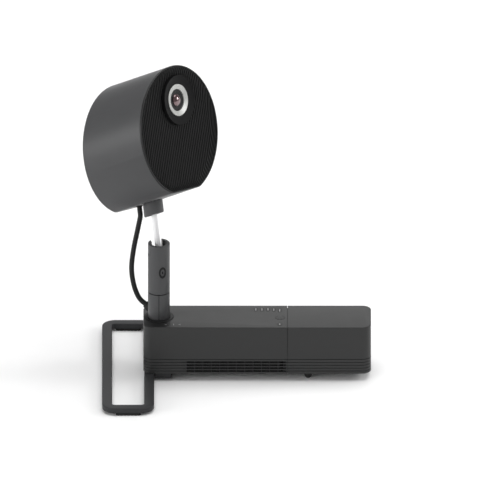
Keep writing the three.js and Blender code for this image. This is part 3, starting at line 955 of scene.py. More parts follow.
class PROJECTOR_OT_box(bpy.types.Operator):
    """Main housing of the electronics box, its filter, seam lip, bottom plate and feet"""

    bl_idname = "projector.box"
    bl_label = "Electronics box"

    def execute(self, context):
        seam = BOX_SEAM.x
        inside = plan(BOX_LOW.x + BOX_WALL, seam + 2 * BEYOND, BOX_LOW.y + BOX_WALL,
                      BOX_SEAM.y - BOX_WALL, BOX_CORNER - BOX_WALL, 0)
        hollow = levels(inside, [(0, 0), (0, BOX_TOP - BOX_WALL - 1),
                                 (0.3, BOX_TOP - BOX_WALL - 0.3),
                                 (1, BOX_TOP - BOX_WALL)])
        openings = [drill(12.1, BOX_TOP - 5, BOX_TOP + 1)]
        for _, x, y, width, length, _ in KEYS:
            well = obround(width + 2 * KEY_GAP, length + 2 * KEY_GAP)
            openings.append(shifted(levels(well, [(0, BOX_TOP - 5), (0, BOX_TOP - 0.25),
                                                  (-0.5, BOX_TOP + 0.25)]), x, y))
        openings += self.vents()
        box_shell("box_housing", BOX_LOW.x, seam + BEYOND, (BOX_CORNER, 0),
                  block(seam, seam + 3 * BEYOND, -60, 60, -10, 120), hollow, together(*openings),
                  "base_housing")
        self.vent_filter()
        self.seam_lip()
        self.bottom_plate()
        for node in ("front_foot", "rear_foot"):
            self.foot(node)
        return {"FINISHED"}

    @staticmethod
    def vent_filter():
        """Pleated black filter behind the slots."""
        wall = BOX_LOW.y + BOX_WALL
        pleats = [(36 + 1.1 * k, wall + (0.4 if k % 2 else 1.2)) for k in range(120)]
        outline = pleats + [(pleats[-1][0], wall + 2.0), (pleats[0][0], wall + 2.0)]
        piece("vent_filter", levels(outline, [(0, BOX_FLOOR + 2.6), (0, 34)]), STAND,
              "soft_rubber", body="root", slot="black_plastic")

    @staticmethod
    def seam_lip():
        """A thin band inside the seam that the cover slides over."""
        gap, thick = 0.3, 1.3
        start, end = span("connector_panel")[1].x + 0.3, COVER_START.x + 5
        side, top, floor = BOX_SEAM.y - BOX_WALL - gap, BOX_TOP - BOX_WALL - gap, BOX_FLOOR + 2.5
        middle = (BOX_LOW.y + BOX_SEAM.y) / 2
        inner = side - thick
        band = [(-side, floor), (-inner, floor), (-inner, top - thick), (inner, top - thick),
                (inner, floor), (side, floor), (side, top), (-side, top)]
        rings = [[(x, middle + y, z) for y, z in band] for x in (start, end)]
        piece("seam_lip", loft(rings), STAND, "black_plastic", body="root", slot="black_plastic",
              soften=(0.2, 1))

    @staticmethod
    def vents():
        slots = []
        for z in SLOT_ROWS:
            for k in range(SLOTS_PER_ROW):
                x = SLOT_START + k * SLOT_PITCH
                slots.append(block(x, x + SLOT_LENGTH, BOX_LOW.y - 1, BOX_LOW.y + BOX_WALL + 1,
                                   z - SLOT_HEIGHT / 2, z + SLOT_HEIGHT / 2))
        return slots

    @staticmethod
    def bottom_plate():
        low, high = span("base_bottom_plate")
        plate = plan(low.x, high.x, low.y, high.y, BOX_CORNER - BOX_WALL - 0.3)
        made = new_object("box_bottom_plate", slab(plate, low.z, high.z, 0.3), STAND)
        round_holes = [(x, y, SCREW_HOLE) for x, y in SCREW_PLACES]
        round_holes += [(204, -22, 2.8), (204, 22, 2.8)]
        holes = [shifted(drill(r, 0, 30, 32), x, y) for x, y, r in round_holes]
        holes += [shifted(levels(obround(3.2, 26), [(0, 0), (0, 30)]), x, y)
                  for x in (44 + 9 * k for k in range(7)) for y in (-15, 15)]
        cut_away(made, together(*holes))
        settled(made, "frame_paint", "base_bottom_plate")

    @staticmethod
    def foot(node):
        """Rubber levelling foot with grip notches and a threaded stem."""
        low, high = span(node)
        middle = (low + high) / 2
        thread = []
        for k in range(8):
            thread += [(2.1, 10.4 + k * 0.72), (2.4, 10.75 + k * 0.72)]
        profile = ([(0, 0.3), (2.4, 0.3), (2.8, 0)]
                   + [(3.2, 0), (4.6, 2.2), (5.9, 6.8), (6, 7.6), (6, 8.8)]
                   + [(5.6, 9.2), (2.4, 10.2)] + thread + [(2.0, 16.5), (0, 16.5)])
        notches = [turned(shifted(drill(0.6, 5, 12, 12), 6.2), 24 * k, "Z")
                   for k in range(15)]
        piece(f"{node}_rubber", shifted(lathe(profile, 60), middle.x, middle.y), STAND,
              "soft_rubber", node, cuts=[shifted(together(*notches), middle.x, middle.y)])


class PROJECTOR_OT_cable_cover(bpy.types.Operator):
    """Sliding cover at the box's end, with the connector panel and sockets behind it"""

    bl_idname = "projector.cable_cover"
    bl_label = "Cable cover and sockets"

    def execute(self, context):
        seam = COVER_START.x
        inside = plan(seam - 2 * BEYOND, BOX_END.x - BOX_WALL, BOX_LOW.y + BOX_WALL,
                      BOX_SEAM.y - BOX_WALL, 0, BOX_CORNER - BOX_WALL)
        hollow = levels(inside, [(0, 0), (0, BOX_TOP - BOX_WALL - 1),
                                 (0.3, BOX_TOP - BOX_WALL - 0.3),
                                 (1, BOX_TOP - BOX_WALL)])
        outlet = block(232, 268, BOX_SEAM.y - 6, BOX_SEAM.y + 2, 0, 34)
        box_shell("box_cable_cover", seam - BEYOND, BOX_END.x, (0, BOX_CORNER),
                  block(seam - 3 * BEYOND, seam, -60, 60, -10, 120), hollow, outlet, "cable_cover")
        self.panel()
        self.power_inlet()
        self.video_port()
        self.network_port()
        return {"FINISHED"}

    @staticmethod
    def panel():
        low, high = span("connector_panel")
        face = levels([(-high.y, low.z), (-low.y, low.z), (-low.y, high.z), (-high.y, high.z)],
                      rounded(low.x, high.x, 0.3))
        turn = Matrix(((0, 0, 1, 0), (-1, 0, 0, 0), (0, 1, 0, 0), (0, 0, 0, 1)))
        made = new_object("socket_panel", moved(face, turn), STAND)
        holes = []
        for node in ("power_inlet", "video_port", "network_port"):
            start, end = span(node)
            holes.append(block(low.x - 1, high.x + 1, start.y - 0.3, end.y + 0.3,
                               start.z - 0.3, end.z + 0.3))
        holes += [block(low.x - 1, high.x + 1, -26, -8, z, z + 1.6) for z in (20, 24, 28, 32)]
        cut_away(made, together(*holes))
        settled(made, "frame_paint", "connector_panel")

    @staticmethod
    def socket(node, mouth_width, mouth_height, depth, material):
        """A rectangular body with softened edges and a mouth, facing +x."""
        low, high = span(node)
        middle = (low + high) / 2
        made = new_object(f"{node}_body", block(low.x, high.x, low.y, high.y, low.z, high.z), STAND)
        softened(made, 0.5)
        mouth = block(high.x - depth, high.x + 1, middle.y - mouth_width / 2, middle.y
                      + mouth_width / 2,
                      middle.z - mouth_height / 2, middle.z + mouth_height / 2)
        cut_away(made, mouth)
        return settled(made, material, node), middle, high.x - depth

    def contacts(self, name, parts, slot="steel"):
        piece(name, together(*parts), STAND, "brushed_steel", body="root", slot=slot,
              soften=(0.15, 1))

    def power_inlet(self):
        _, middle, x = self.socket("power_inlet", 22, 14, 8.4, "black_plastic")
        pins = [block(x - 0.5, x + 6, middle.y + y - 1.6, middle.y + y + 1.6,
                      middle.z + z - 0.7, middle.z + z + 0.7)
                for y, z in ((-6, -1.5), (6, -1.5), (0, 2.5))]
        self.contacts("power_inlet_pins", pins)

    def video_port(self):
        _, middle, x = self.socket("video_port", 14, 5, 8.4, "brushed_steel")
        tongue = block(x - 0.5, x + 7, middle.y - 5, middle.y + 5, middle.z - 0.5, middle.z + 0.5)
        piece("video_port_tongue", tongue, STAND, "component_plastic", body="root",
              slot="black_plastic", soften=(0.2, 2))

    def network_port(self):
        _, middle, x = self.socket("network_port", 11.6, 8.4, 9.8, "brushed_steel")
        wires = [block(x - 0.5, x + 7, middle.y + y - 0.22, middle.y + y + 0.22,
                       middle.z + 2.4, middle.z + 2.9)
                 for y in (-3.57 + 1.02 * k for k in range(8))]
        self.contacts("network_port_contacts", wires)


class PROJECTOR_OT_keypad(bpy.types.Operator):
    """Small keys on the box with plain legends, and a black plate beside the post that is painted
    shadow
    """

    bl_idname = "projector.keypad"
    bl_label = "Keypad"

    def execute(self, context):
        for name, x, y, width, length, legend in KEYS:
            cap = levels(obround(width, length), [
                (0, BOX_TOP - 3.7), (0, BOX_TOP - 0.05), (0.1, BOX_TOP + 0.1),
                (0.35, BOX_TOP + 0.17), (0.9, BOX_TOP + 0.2)])
            flange = slab(obround(width + 2, length + 2), BOX_TOP - 5, BOX_TOP - 3.6, 0.2)
            piece(f"{name}_cap", together(shifted(cap, x, y), shifted(flange, x, y)), STAND,
                  "key_plastic", name)
            marks = new_object(f"{name}_legend", together(*self.marks(legend, x, y)), STAND)
            ink = "grille_plastic" if legend == "dots" else "legend_print"
            settled(marks, ink, body=BODY_OF[name], slot="key_plastic")
        # Black plate beside the post: painted shadow of the post
        self.painted_post_shadow()
        return {"FINISHED"}

    @staticmethod
    def marks(legend, x, y):
        """Plain marks that stand a tenth of a millimetre above a cap."""
        low, high = BOX_TOP + 0.15, BOX_TOP + 0.3
        if legend == "dots":
            dot = levels(obround(1.5, 1.5), [(0, low), (0, high)])
            return [shifted(dot, x + dx, y + dy) for dx, dy in ((-4, 4), (4, 4), (-3, -4), (2, -4))]
        length = {"bar": 7.6, "mark": 5.2}[legend]
        stroke = levels(obround(1.1, length), [(0, low), (0, high)])
        return [shifted(stroke, x, y)]

    @staticmethod
    def painted_post_shadow():
        """Painted shadow: a black plate let into the top at the post's front-left, shaped like the
        post's shadow there, with small indicator marks.
        """
        corner = [(-20.6 + dx, -35.2 + dy) for dx, dy in arc(11, 11, 11, 180, 270, 10)]
        outline = corner + [(8, -35.2), (14, -31), (15.5, -24), (15.5, 3), (-20.6, 3)]
        made = new_object("post_painted_shadow",
                          levels(outline, [(0.1, BOX_TOP - 0.4), (0.1, BOX_TOP + 0.04),
                                           (0.2, BOX_TOP + 0.08)]), STAND)
        hole = drill(14, 70, 90, 96)
        cut_away(made, hole)
        settled(made, "grille_plastic", body="root", slot="black_plastic")
        low, high = BOX_TOP + 0.05, BOX_TOP + 0.14
        marks = [(9.2, 2.4, 0.7), (20, 0.8, 4.4), (27.8, 2.6, 0.6)]
        parts = [levels(plan(x - w / 2, x + w / 2, -26.7 - h / 2, -26.7 + h / 2, 0.2),
                        [(0, low), (0, high)]) for x, w, h in marks]
        parts.append(levels(plan(28.6, 29.3, -28.4, -25, 0.2), [(0, low), (0, high)]))
        piece("indicator_marks", together(*parts), STAND, "legend_print", body="root",
              slot="key_plastic")


# ---- Inside the box ----------------------------------------------------------------------------

def fan_frame_parts(size, depth, bore, hub):
    """A square fan frame with corner holes, a flared bore and three curved spokes."""
    half = size / 2
    outline = plan(-half, half, -half, half, 3.0)
    corner = half - 3.4
    holes = [shifted(drill(1.6, -1, depth + 1, 24), x, y)
             for x in (-corner, corner) for y in (-corner, corner)]
    holes.append(lathe([(0, -1), (bore + 1.2, -1), (bore + 1.2, 0), (bore, 1.4),
                        (bore, depth - 1.4), (bore + 1.2, depth), (bore + 1.2, depth + 1),
                        (0, depth + 1)]))
    hub_plate = lathe([(0, 0), (hub - 0.4, 0), (hub, 0.4), (hub, 2), (0, 2)], 48)
    spokes = [turned(shifted(levels(plan(hub - 1, bore + 0.8, -1.2, 1.2, 0.4),
                                    [(0, 0.1), (0, 1.9)])), 120 * k + 8, "Z") for k in range(3)]
    return slab(outline, 0, depth, 0.5), together(*holes), [hub_plate, *spokes]


def fan_rotor_parts(tip, hub, depth, blades):
    """A round hub and blades that twist from root to tip."""
    cap = lathe([(0, 0), (hub - 1, 0), (hub - 0.3, 0.3), (hub, 1), (hub, depth), (hub - 1, depth),
                 (hub - 1, 2), (0, 2)], 48)
    parts = [cap]
    for k in range(blades):
        rings = []
        for step in range(7):
            share = step / 6
            radius = hub - 0.8 + (tip - hub + 0.4) * share
            pitch = math.radians(48 - 14 * share)
            sweep = math.radians(26 * share * share)
            half = depth * 0.46 / math.sin(pitch)
            ring = []
            for along, thick in ((-1, 0), (-0.4, -0.55), (0.4, -0.65), (1, 0), (0.4, 0.65),
                                 (-0.4, 0.55)):
                across = along * half * math.cos(pitch) - thick * math.sin(pitch)
                up = along * half * math.sin(pitch) + thick * math.cos(pitch)
                angle = sweep + across / radius
                ring.append((radius * math.cos(angle), radius * math.sin(angle), depth / 2 + up))
            rings.append(ring)
        parts.append(turned(loft(rings), 360 / blades * k, "Z"))
    return parts


def add_fan(prefix, place, at, size, bore, hub, frame_depth, tip, rotor_at, rotor_depth):
    """A fan whose axis lies along the frame's y, at (x, z)."""
    x, z = at
    start = span(f"{prefix}_frame", place)[0].y
    body, holes, spokes = fan_frame_parts(size, frame_depth, bore, hub)
    piece(f"{prefix}_frame_body", shifted(along_y(body), x, start, z), place, "component_plastic",
          f"{prefix}_frame", cuts=[shifted(along_y(holes), x, start, z)])
    piece(f"{prefix}_spokes", shifted(along_y(together(*spokes)), x, start, z), place,
          "component_plastic", body=BODY_OF[f"{prefix}_frame"], slot="black_plastic")
    rotor = together(*fan_rotor_parts(tip, hub, rotor_depth, 7))
    piece(f"{prefix}_blades", shifted(along_y(rotor), x, rotor_at, z), place, "component_plastic",
          f"{prefix}_rotor")


def can(radius, z0, z1):
    """A capacitor: a can with a rolled edge and a scored top."""
    return lathe([(0, z0), (radius, z0), (radius, z0 + 1.2), (radius - 0.35, z0 + 1.6),
                  (radius, z0 + 2), (radius, z1 - 0.4), (radius - 0.4, z1),
                  (radius - 0.8, z1 - 0.2), (0, z1 - 0.2)], 32)


class PROJECTOR_OT_box_insides(bpy.types.Operator):
    """Boards with their components and the fan inside the box"""

    bl_idname = "projector.box_insides"
    bl_label = "Inside the box"

    def execute(self, context):
        chips = [block(40, 60, -12, 8, 19.5, 22), block(72, 80, -24, -8, 19.5, 24),
                 block(30, 36, 12, 22, 19.5, 21), block(86, 98, -6, 2, 19.5, 21.5)]
        cans = [shifted(can(3.2, 19.6, 27), x, y) for x,
                y in ((74, 8), (82, 8), (90, 8), (74, 17), (82, 17))]
        self.board("main_board", 24, 106, 30, 18, 19.6, chips, cans)
        parts = [block(32, 62, -24, 6, 39.8, 64), block(70, 84, -22, 22, 39.8, 58),
                 block(34, 46, 12, 26, 39.8, 50)]
        cans = [shifted(can(6.4, 40, 69), 96, y) for y in (-8, 10)]
        cans += [shifted(can(3.4, 40, 54), 52, y) for y in (13, 22)]
        self.board("power_supply", 24, 106, 31, 38, 40, parts, cans)
        add_fan("base_fan", STAND, (134, 43), size=50, bore=23, hub=9, frame_depth=14,
                tip=21.8, rotor_at=-27.6, rotor_depth=9.5)
        return {"FINISHED"}

    @staticmethod
    def board(node, x0, x1, half, z0, z1, blocks, cans):
        sheet = new_object(f"{node}_sheet", slab(plan(x0, x1, -half, half, 1.5), z0, z1, 0.2),
                           STAND)
        corners = [shifted(drill(1.6, z0 - 1, z1 + 1, 24), x, y)
                   for x in (x0 + 4, x1 - 4) for y in (4 - half, half - 4)]
        cut_away(sheet, together(*corners))
        settled(sheet, "board_lacquer", node)
        piece(f"{node}_components", together(*blocks), STAND, "component_plastic", body="root",
              slot="black_plastic", soften=(0.5,))
        piece(f"{node}_capacitors", together(*cans), STAND, "cast_aluminium", body="root",
              slot="aluminium")


# ---- Post and arm ------------------------------------------------------------------------------

POST_RADIUS = 15.0
CABLE_ENTRY = Vector((-12.9, 7.4, 91.6))
ENTRY_DIRECTION = Vector((-0.79, 0.44, 0.43)).normalized()
WINDOW_HEIGHT = 153.0
TILT_HEIGHT = 176.0
ROD_RADIUS = 4.0


def pointing(place, direction):
    """The matrix that takes z to a direction and the origin to a place."""
    turn = Vector((0, 0, 1)).rotation_difference(direction)
    return Matrix.Translation(place) @ turn.to_matrix().to_4x4()


class PROJECTOR_OT_post(bpy.types.Operator):
    """Fixed lower post: foot ring, core, two half covers, bush and the cable's gland"""

    bl_idname = "projector.post"
    bl_label = "Post"

    def execute(self, context):
        low, high = span("post_foot_ring")
        profile = [(15.3, low.z), (20.4, low.z), (20.4, low.z + 0.2)]
        profile += arc(19.7, low.z, 0.7, 20, 90, 5) + [(16.2, high.z - 0.3), (15.3, high.z - 0.8)]
        piece("post_foot_collar", lathe(profile, 128, looped=True), STAND, "grille_plastic",
              "post_foot_ring")

        low, high = span("post_core")
        # Painted shade: the core is black instead of steel so the seam between the two covers shows
        # dark
        piece("post_core_tube", tube(11.7, 9.4, low.z, high.z, 0.3), STAND, "black_plastic",
              "post_core", slot="black_plastic")
        low, high = span("pan_bush")
        piece("pan_bush_sleeve", tube(13.2, 12, low.z, high.z, 0.25), STAND, "component_plastic",
              "pan_bush")

        self.covers()
        self.gland()
        return {"FINISHED"}

    @staticmethod
    def covers():
        low, high = span("left_post_cover")
        entry = moved(drill(4.2, -6, 20, 48),
                      pointing(CABLE_ENTRY, ENTRY_DIRECTION))
        for side, node in ((1, "left_post_cover"), (-1, "right_post_cover")):
            made = new_object(f"{node}_half",
                              tube(POST_RADIUS, 12, low.z, high.z - 0.4, 0.3, 128), STAND)
            seam = 0.4 * side
            x0, x1 = sorted((-seam, 20 * side))
            cut_away(made, block(x0, x1, -20, 20, low.z - 1, high.z + 1),
                     *([entry] if side > 0 else []))
            softened(made, 0.15, 1, 60)
            settled(made, "shell_plastic", node)

    @staticmethod
    def gland():
        profile = [(3.85, -4), (6.4, -4), (6.4, 2.2)]
        for k in range(3):
            profile += [(6.25 - 0.4 * k, 2.6 + 1.3 * k), (5.7 - 0.4 * k, 3.0 + 1.3 * k),
                        (5.7 - 0.4 * k, 3.5 + 1.3 * k)]
        profile += [(4.9, 6.9), (4.5, 7.1), (3.85, 7.1)]
        sleeve = moved(lathe(profile, 48, looped=True), pointing(CABLE_ENTRY, ENTRY_DIRECTION))
        made = new_object("post_gland_sleeve", sleeve, STAND)
        core = drill(POST_RADIUS + 0.3, 60, 130, 128)
        cut_away(made, core)
        settled(made, "soft_rubber", "post_cable_gland")


class PROJECTOR_OT_pan_tube(bpy.types.Operator):
    """Upper tube that turns on the post, with its tilt pin and its oval fastener"""

    bl_idname = "projector.pan_tube"
    bl_label = "Upper tube"

    def execute(self, context):
        low, high = span("pan_tube", PAN)
        low.z += 0.4
        profile = [(13.5, low.z + 0.4), (13.9, low.z), (14.7, low.z), (15, low.z + 0.3)]
        profile += (arc(14, high.z - 1, 1, 0, 90, 5)
                    + [(11.5, high.z), (11, high.z - 0.5), (11, 140), (13.5, 140)])
        made = new_object("upper_tube", lathe(profile, 128, looped=True), PAN)
        slot = moved(levels(plan(-8, 8, TILT_HEIGHT - 2.5, high.z + 20, 1.5), [(0, 2), (0, 20)]),
                     Matrix(((1, 0, 0, 0), (0, 0, 1, 0), (0, 1, 0, 0), (0, 0, 0, 1))))
        pin_hole = shifted(along_x(drill(2.3, -20, 20, 48)), z=TILT_HEIGHT)
        window = shifted(along_y(levels(obround(9.4, 16), [(0, -20), (0, -5)])), z=WINDOW_HEIGHT)
        cut_away(made, slot, pin_hole, window)
        softened(made, 0.35, 2, 50)
        settled(made, "shell_plastic", "pan_tube")
        # A black sleeve inside the slotted end as painted shade
        self.shade_sleeve(slot, high.z)

        start, end = span("tilt_pin", PAN)
        pin = shifted(along_x(round_bar(2, start.x, end.x, 0.4)), z=TILT_HEIGHT)
        settled(new_object("tilt_pin_steel", pin, PAN), "brushed_steel", "tilt_pin")
        self.fastener()
        return {"FINISHED"}

    @staticmethod
    def fastener():
        """A black oval surround, a grey oval head in it and a dark recess in the head."""
        outside = tube(30, POST_RADIUS + 0.25, WINDOW_HEIGHT - 30, WINDOW_HEIGHT + 30, 0.1)
        surround = levels(oval(10.8, 17.0), [(0, -11.5), (0, -20)])
        hollow = levels(oval(6.0, 10.6), [(0, -21), (0, -13.2)])
        hollow = shifted(along_y(hollow), z=WINDOW_HEIGHT)
        piece("fastener_surround", shifted(along_y(surround), z=WINDOW_HEIGHT), PAN,
              "grille_plastic", "tilt_screw_plug", cuts=[outside, hollow], soften=(0.2, 2, 50))
        head = levels(oval(5.6, 10.2), [(0, -12), (0, -14.6), (0.3, -15.0)])
        socket = levels(oval(2.4, 4.8), [(0, -20), (0, -12.6)])
        piece("fastener_head", shifted(along_y(head), z=WINDOW_HEIGHT), PAN, "shell_plastic",
              body="pan", slot="shell", cuts=[shifted(along_y(socket), z=WINDOW_HEIGHT)])

    @staticmethod
    def shade_sleeve(slot, top):
        """Painted shade: a thin black sleeve inside the tube's slotted end, dark where shade falls
        inside the tube.
        """
        piece("upper_tube_shade_sleeve", tube(10.9, 10.2, 165, top - 0.6, 0.15), PAN, "black_plastic",
              body="pan", slot="black_plastic", cuts=[slot])


class PROJECTOR_OT_arm(bpy.types.Operator):
    """Thin light rod from the tilt pin up into the head"""

    bl_idname = "projector.arm"
    bl_label = "Arm"

    def execute(self, context):
        knuckle = new_object("tilt_knuckle", along_x(round_bar(9, -5.5, 5.5, 0.6, 96)), ARM)
        bore = along_x(drill(2.3, -8, 8, 48))
        socket = drill(ROD_RADIUS + 0.3, 4.5, 12, 48)
        cut_away(knuckle, bore, socket)
        settled(knuckle, "black_plastic", "arm_knuckle", slot="black_plastic")

        low, high = span("arm_rod", ARM)
        piece("arm_rod_bar", round_bar(ROD_RADIUS, low.z, high.z, 0.5, 64), ARM, "rod_finish",
              "arm_rod")

        low, high = span("arm_retainer", ARM)
        ring = new_object("arm_retainer_ring", tube(9, ROD_RADIUS + 0.3, low.z, high.z, 0.35, 96),
                          ARM)
        slit = block(3, 12, -0.5, 0.5, low.z - 1, high.z + 1)
        cut_away(ring, slit)
        settled(ring, "brushed_steel", "arm_retainer")
        return {"FINISHED"}


# ---- Head --------------------------------------------------------------------------------------

DRUM_RADIUS = 86.6
DRUM_AXIS = 81.2         # height above the flat underside
DRUM_BLEND = 20.0
DRUM_SKEW = math.radians(12.7)
DRUM_FRONT = -61.0
DRUM_BACK = 45.0
DRUM_WALL = 2.5
REAR_EDGE = 4.0
RIM_WIDTH = 1.6
GRILLE_INSET = 2.2
LENS_X, LENS_Z = 8.0, 137.2
LENS_HOLE = 34.6
CABLE_HOLE = (-1.5, 22.5)
COVER_SCREWS = ((-56, 112), (56, 112), (-50, 34), (50, 34))

# Takes a point of the drum, square to its own axis, into a plane square to the face's normal
DRUM_SHEAR = Matrix(((1, 0, 0, 0), (0, 1, 0, 0),
                     (0, -math.tan(DRUM_SKEW), 1 / math.cos(DRUM_SKEW), 0), (0, 0, 0, 1)))


def drum_outline(inset):
    """(x, z) points of a circle with a short flat underside."""
    radius, blend = DRUM_RADIUS - inset, DRUM_BLEND - inset
    floor = inset - DRUM_AXIS
    reach = math.sqrt((radius - blend) ** 2 - (floor + blend) ** 2)
    side = math.degrees(math.atan2(floor + blend, reach))
    points = arc(0, 0, radius, side, 180 - side, 180)
    points += arc(-reach, floor + blend, blend, 180 - side, 270, 16)[1:]
    points += arc(reach, floor + blend, blend, 270, 360 + side, 16)[:-1]
    return [(x, z + DRUM_AXIS) for x, z in points]


def drum(steps, looped=False):
    """A piece of the drum that goes through (inset, y) steps."""
    rings = [[DRUM_SHEAR @ Vector((x, y, z)) for x, z in drum_outline(inset)] for inset, y in steps]
    return loft(rings, looped)


def depth_inside(x, z):
    """How far a point of the drum's section lies inside its outline."""
    round_part = DRUM_RADIUS - math.hypot(x, z - DRUM_AXIS)
    reach = math.sqrt((DRUM_RADIUS - DRUM_BLEND) ** 2 - (DRUM_BLEND - DRUM_AXIS) ** 2)
    if abs(x) <= reach:
        return min(round_part, z)
    across, up = abs(x) - reach, z - DRUM_BLEND
    in_blend = reach * up + (DRUM_AXIS - DRUM_BLEND) * across <= 0
    return DRUM_BLEND - math.hypot(across, up) if in_blend else round_part


class PROJECTOR_OT_head_casing(bpy.types.Operator):
    """Round skin of the head, its front rim and its rear cover"""

    bl_idname = "projector.head_casing"
    bl_label = "Head casing"

    def execute(self, context):
        front, back = DRUM_FRONT + 2.4, DRUM_BACK - 3
        outside = [(inset, y) for inset, y in self.back_edge() if y < back - 0.2]
        edge = outside[-1][0]
        shell = new_object("head_skin", drum([
            (0.35, front), (0, front + 0.5), *outside, (edge + 0.4, back),
            (edge + 1.8, back), (edge + 2, back - 0.3), (DRUM_WALL, back - 9),
            (DRUM_WALL, front + 0.3), (DRUM_WALL - 0.3, front)], looped=True), HEAD)
        holes = [shifted(drill(r, -30, 20, 48), x, y)
                 for r, x, y in ((ROD_RADIUS + 0.6, 0, 0), (4.6, *CABLE_HOLE))]
        cut_away(shell, *holes)
        settled(shell, "shell_plastic", "head_shell")

        rim = drum([(0.3, DRUM_FRONT + 2.1), (0, DRUM_FRONT + 1.8), (0, DRUM_FRONT + 0.5),
                    (0.2, DRUM_FRONT + 0.15), (0.6, DRUM_FRONT), (RIM_WIDTH - 0.2, DRUM_FRONT),
                    (RIM_WIDTH, DRUM_FRONT + 0.3), (RIM_WIDTH, DRUM_FRONT + 2.1)], looped=True)
        piece("head_front_rim", rim, HEAD, "black_plastic", "front_rim")
        self.rear_cover()
        return {"FINISHED"}

    @staticmethod
    def back_edge(steps=14):
        """(inset, y) steps of the rounded edge between the skin and the back."""
        radius = REAR_EDGE
        return [(radius - y, DRUM_BACK - radius + x) for x, y in arc(0, 0, radius, 90, 0, steps)]

    def rear_cover(self):
        back = DRUM_BACK
        edge = [(inset, y) for inset, y in self.back_edge() if y > back - 2.5]
        cover = new_object("head_rear_cover_plate", drum([
            (edge[0][0] + 1, back - 2.7), (edge[0][0] + 0.1, back - 2.6), *edge, (16, back),
            (16.5, back - 0.5), (18, back - 0.5), (18.5, back)]), HEAD)
        slots = []
        for k in range(-5, 6):
            x = 7 * k
            half = math.sqrt(40 ** 2 - x ** 2)
            slots.append(shifted(along_y(levels(obround(3.2, 2 * half), [(0, 30), (0, 60)])), x,
                                 0, 78))
        screws = [shifted(along_y(drill(3, back - 1.6, back + 1, 32)),
                          x, 0, z) for x, z in COVER_SCREWS]
        cut_away(cover, together(*slots, *screws))
        softened(cover, 0.25, 1, 60)
        settled(cover, "shell_plastic", "head_rear_cover")
        heads = []
        for x, z in COVER_SCREWS:
            profile = [(0, 43.6), (2.5, 43.6), (2.5, 44.1), (2.1, 44.5), (0, 44.5)]
            heads.append(shifted(along_y(lathe(profile, 32)), x, 0, z))
        piece("rear_cover_screws", together(*heads), HEAD, "brushed_steel", body="head",
              slot="steel")


class PROJECTOR_OT_grille(bpy.types.Operator):
    """Ribbed face of the head, whose ribs rise to the rim all round"""

    bl_idname = "projector.grille"
    bl_label = "Ribbed face"

    VALLEY = -55.2
    RISE = 4.0
    RAMP = 7.5
    # Share of the pitch, share of the rib's depth
    RIB = ((0.0, 0.0), (0.24, 0.0), (0.31, 0.7), (0.37, 0.95), (0.5, 1.0), (0.63, 0.95),
           (0.69, 0.7),
           (0.76, 0.0))

    def execute(self, context):
        details = context.scene.projector_details
        pitch, depth = details.rib_pitch / MM, details.rib_depth / MM
        reach = DRUM_RADIUS - GRILLE_INSET - 0.3
        count = int(reach / pitch) + 1
        stations = sorted((k + share) * pitch - pitch / 2 for k in range(-count, count + 1)
                          for share, _ in self.RIB)
        heights = [height for _ in range(-count, count + 1) for _, height in self.RIB]
        kept = [(x, h) for x, h in zip(stations, heights) if abs(x) < reach]
        rings = [self.section(x, h * depth) for x, h in kept]
        made = new_object("face_ribs", loft(rings), HEAD)
        lens_hole = along_y(drill(LENS_HOLE, -90, -40, 128))
        cut_away(made, shifted(lens_hole, LENS_X, 0, LENS_Z))
        settled(made, "grille_plastic", "front_grille")
        return {"FINISHED"}

    def section(self, x, rib):
        """A slice of the ribbed sheet at x: its front from bottom to top, then its flat back."""
        reach = math.sqrt((DRUM_RADIUS - GRILLE_INSET) ** 2 - x * x)
        low, high = self.lowest(x), DRUM_AXIS + reach
        heights = self.rows(low, high)
        ring = []
        for z in heights:
            inside = depth_inside(x, z) - GRILLE_INSET
            share = min(1.0, max(0.0, 1 - inside / self.RAMP))
            lift = self.RISE * share ** 1.25
            ring.append(DRUM_SHEAR @ Vector((x, self.VALLEY - lift - rib, z)))
        ring += [DRUM_SHEAR @ Vector((x, self.VALLEY + 0.6, z)) for z in (heights[-1], heights[0])]
        return ring

    @staticmethod
    def lowest(x):
        """Height of the inset outline's bottom at x."""
        blend = DRUM_BLEND - GRILLE_INSET
        reach = math.sqrt((DRUM_RADIUS - DRUM_BLEND) ** 2 - (DRUM_BLEND - DRUM_AXIS) ** 2)
        if abs(x) <= reach:
            return GRILLE_INSET
        tangent = reach * (DRUM_RADIUS - GRILLE_INSET) / (DRUM_RADIUS - DRUM_BLEND)
        if abs(x) <= tangent:
            return DRUM_BLEND - math.sqrt(blend ** 2 - (abs(x) - reach) ** 2)
        return DRUM_AXIS - math.sqrt((DRUM_RADIUS - GRILLE_INSET) ** 2 - x * x)

    @staticmethod
    def rows(low, high):
        """Heights from low to high, close together at both ends."""
        near = [0, 0.08, 0.25, 0.5, 0.9, 1.4, 2, 3, 4, 5.2, 6.6, 8.5, 11, 15, 21, 29]
        half = (high - low) / 2
        scale = min(1.0, half / (near[-1] + 2))
        near = [step * scale for step in near]
        far = [high - step for step in reversed(near)]
        return [low + step for step in near] + [(low + high) / 2] + far


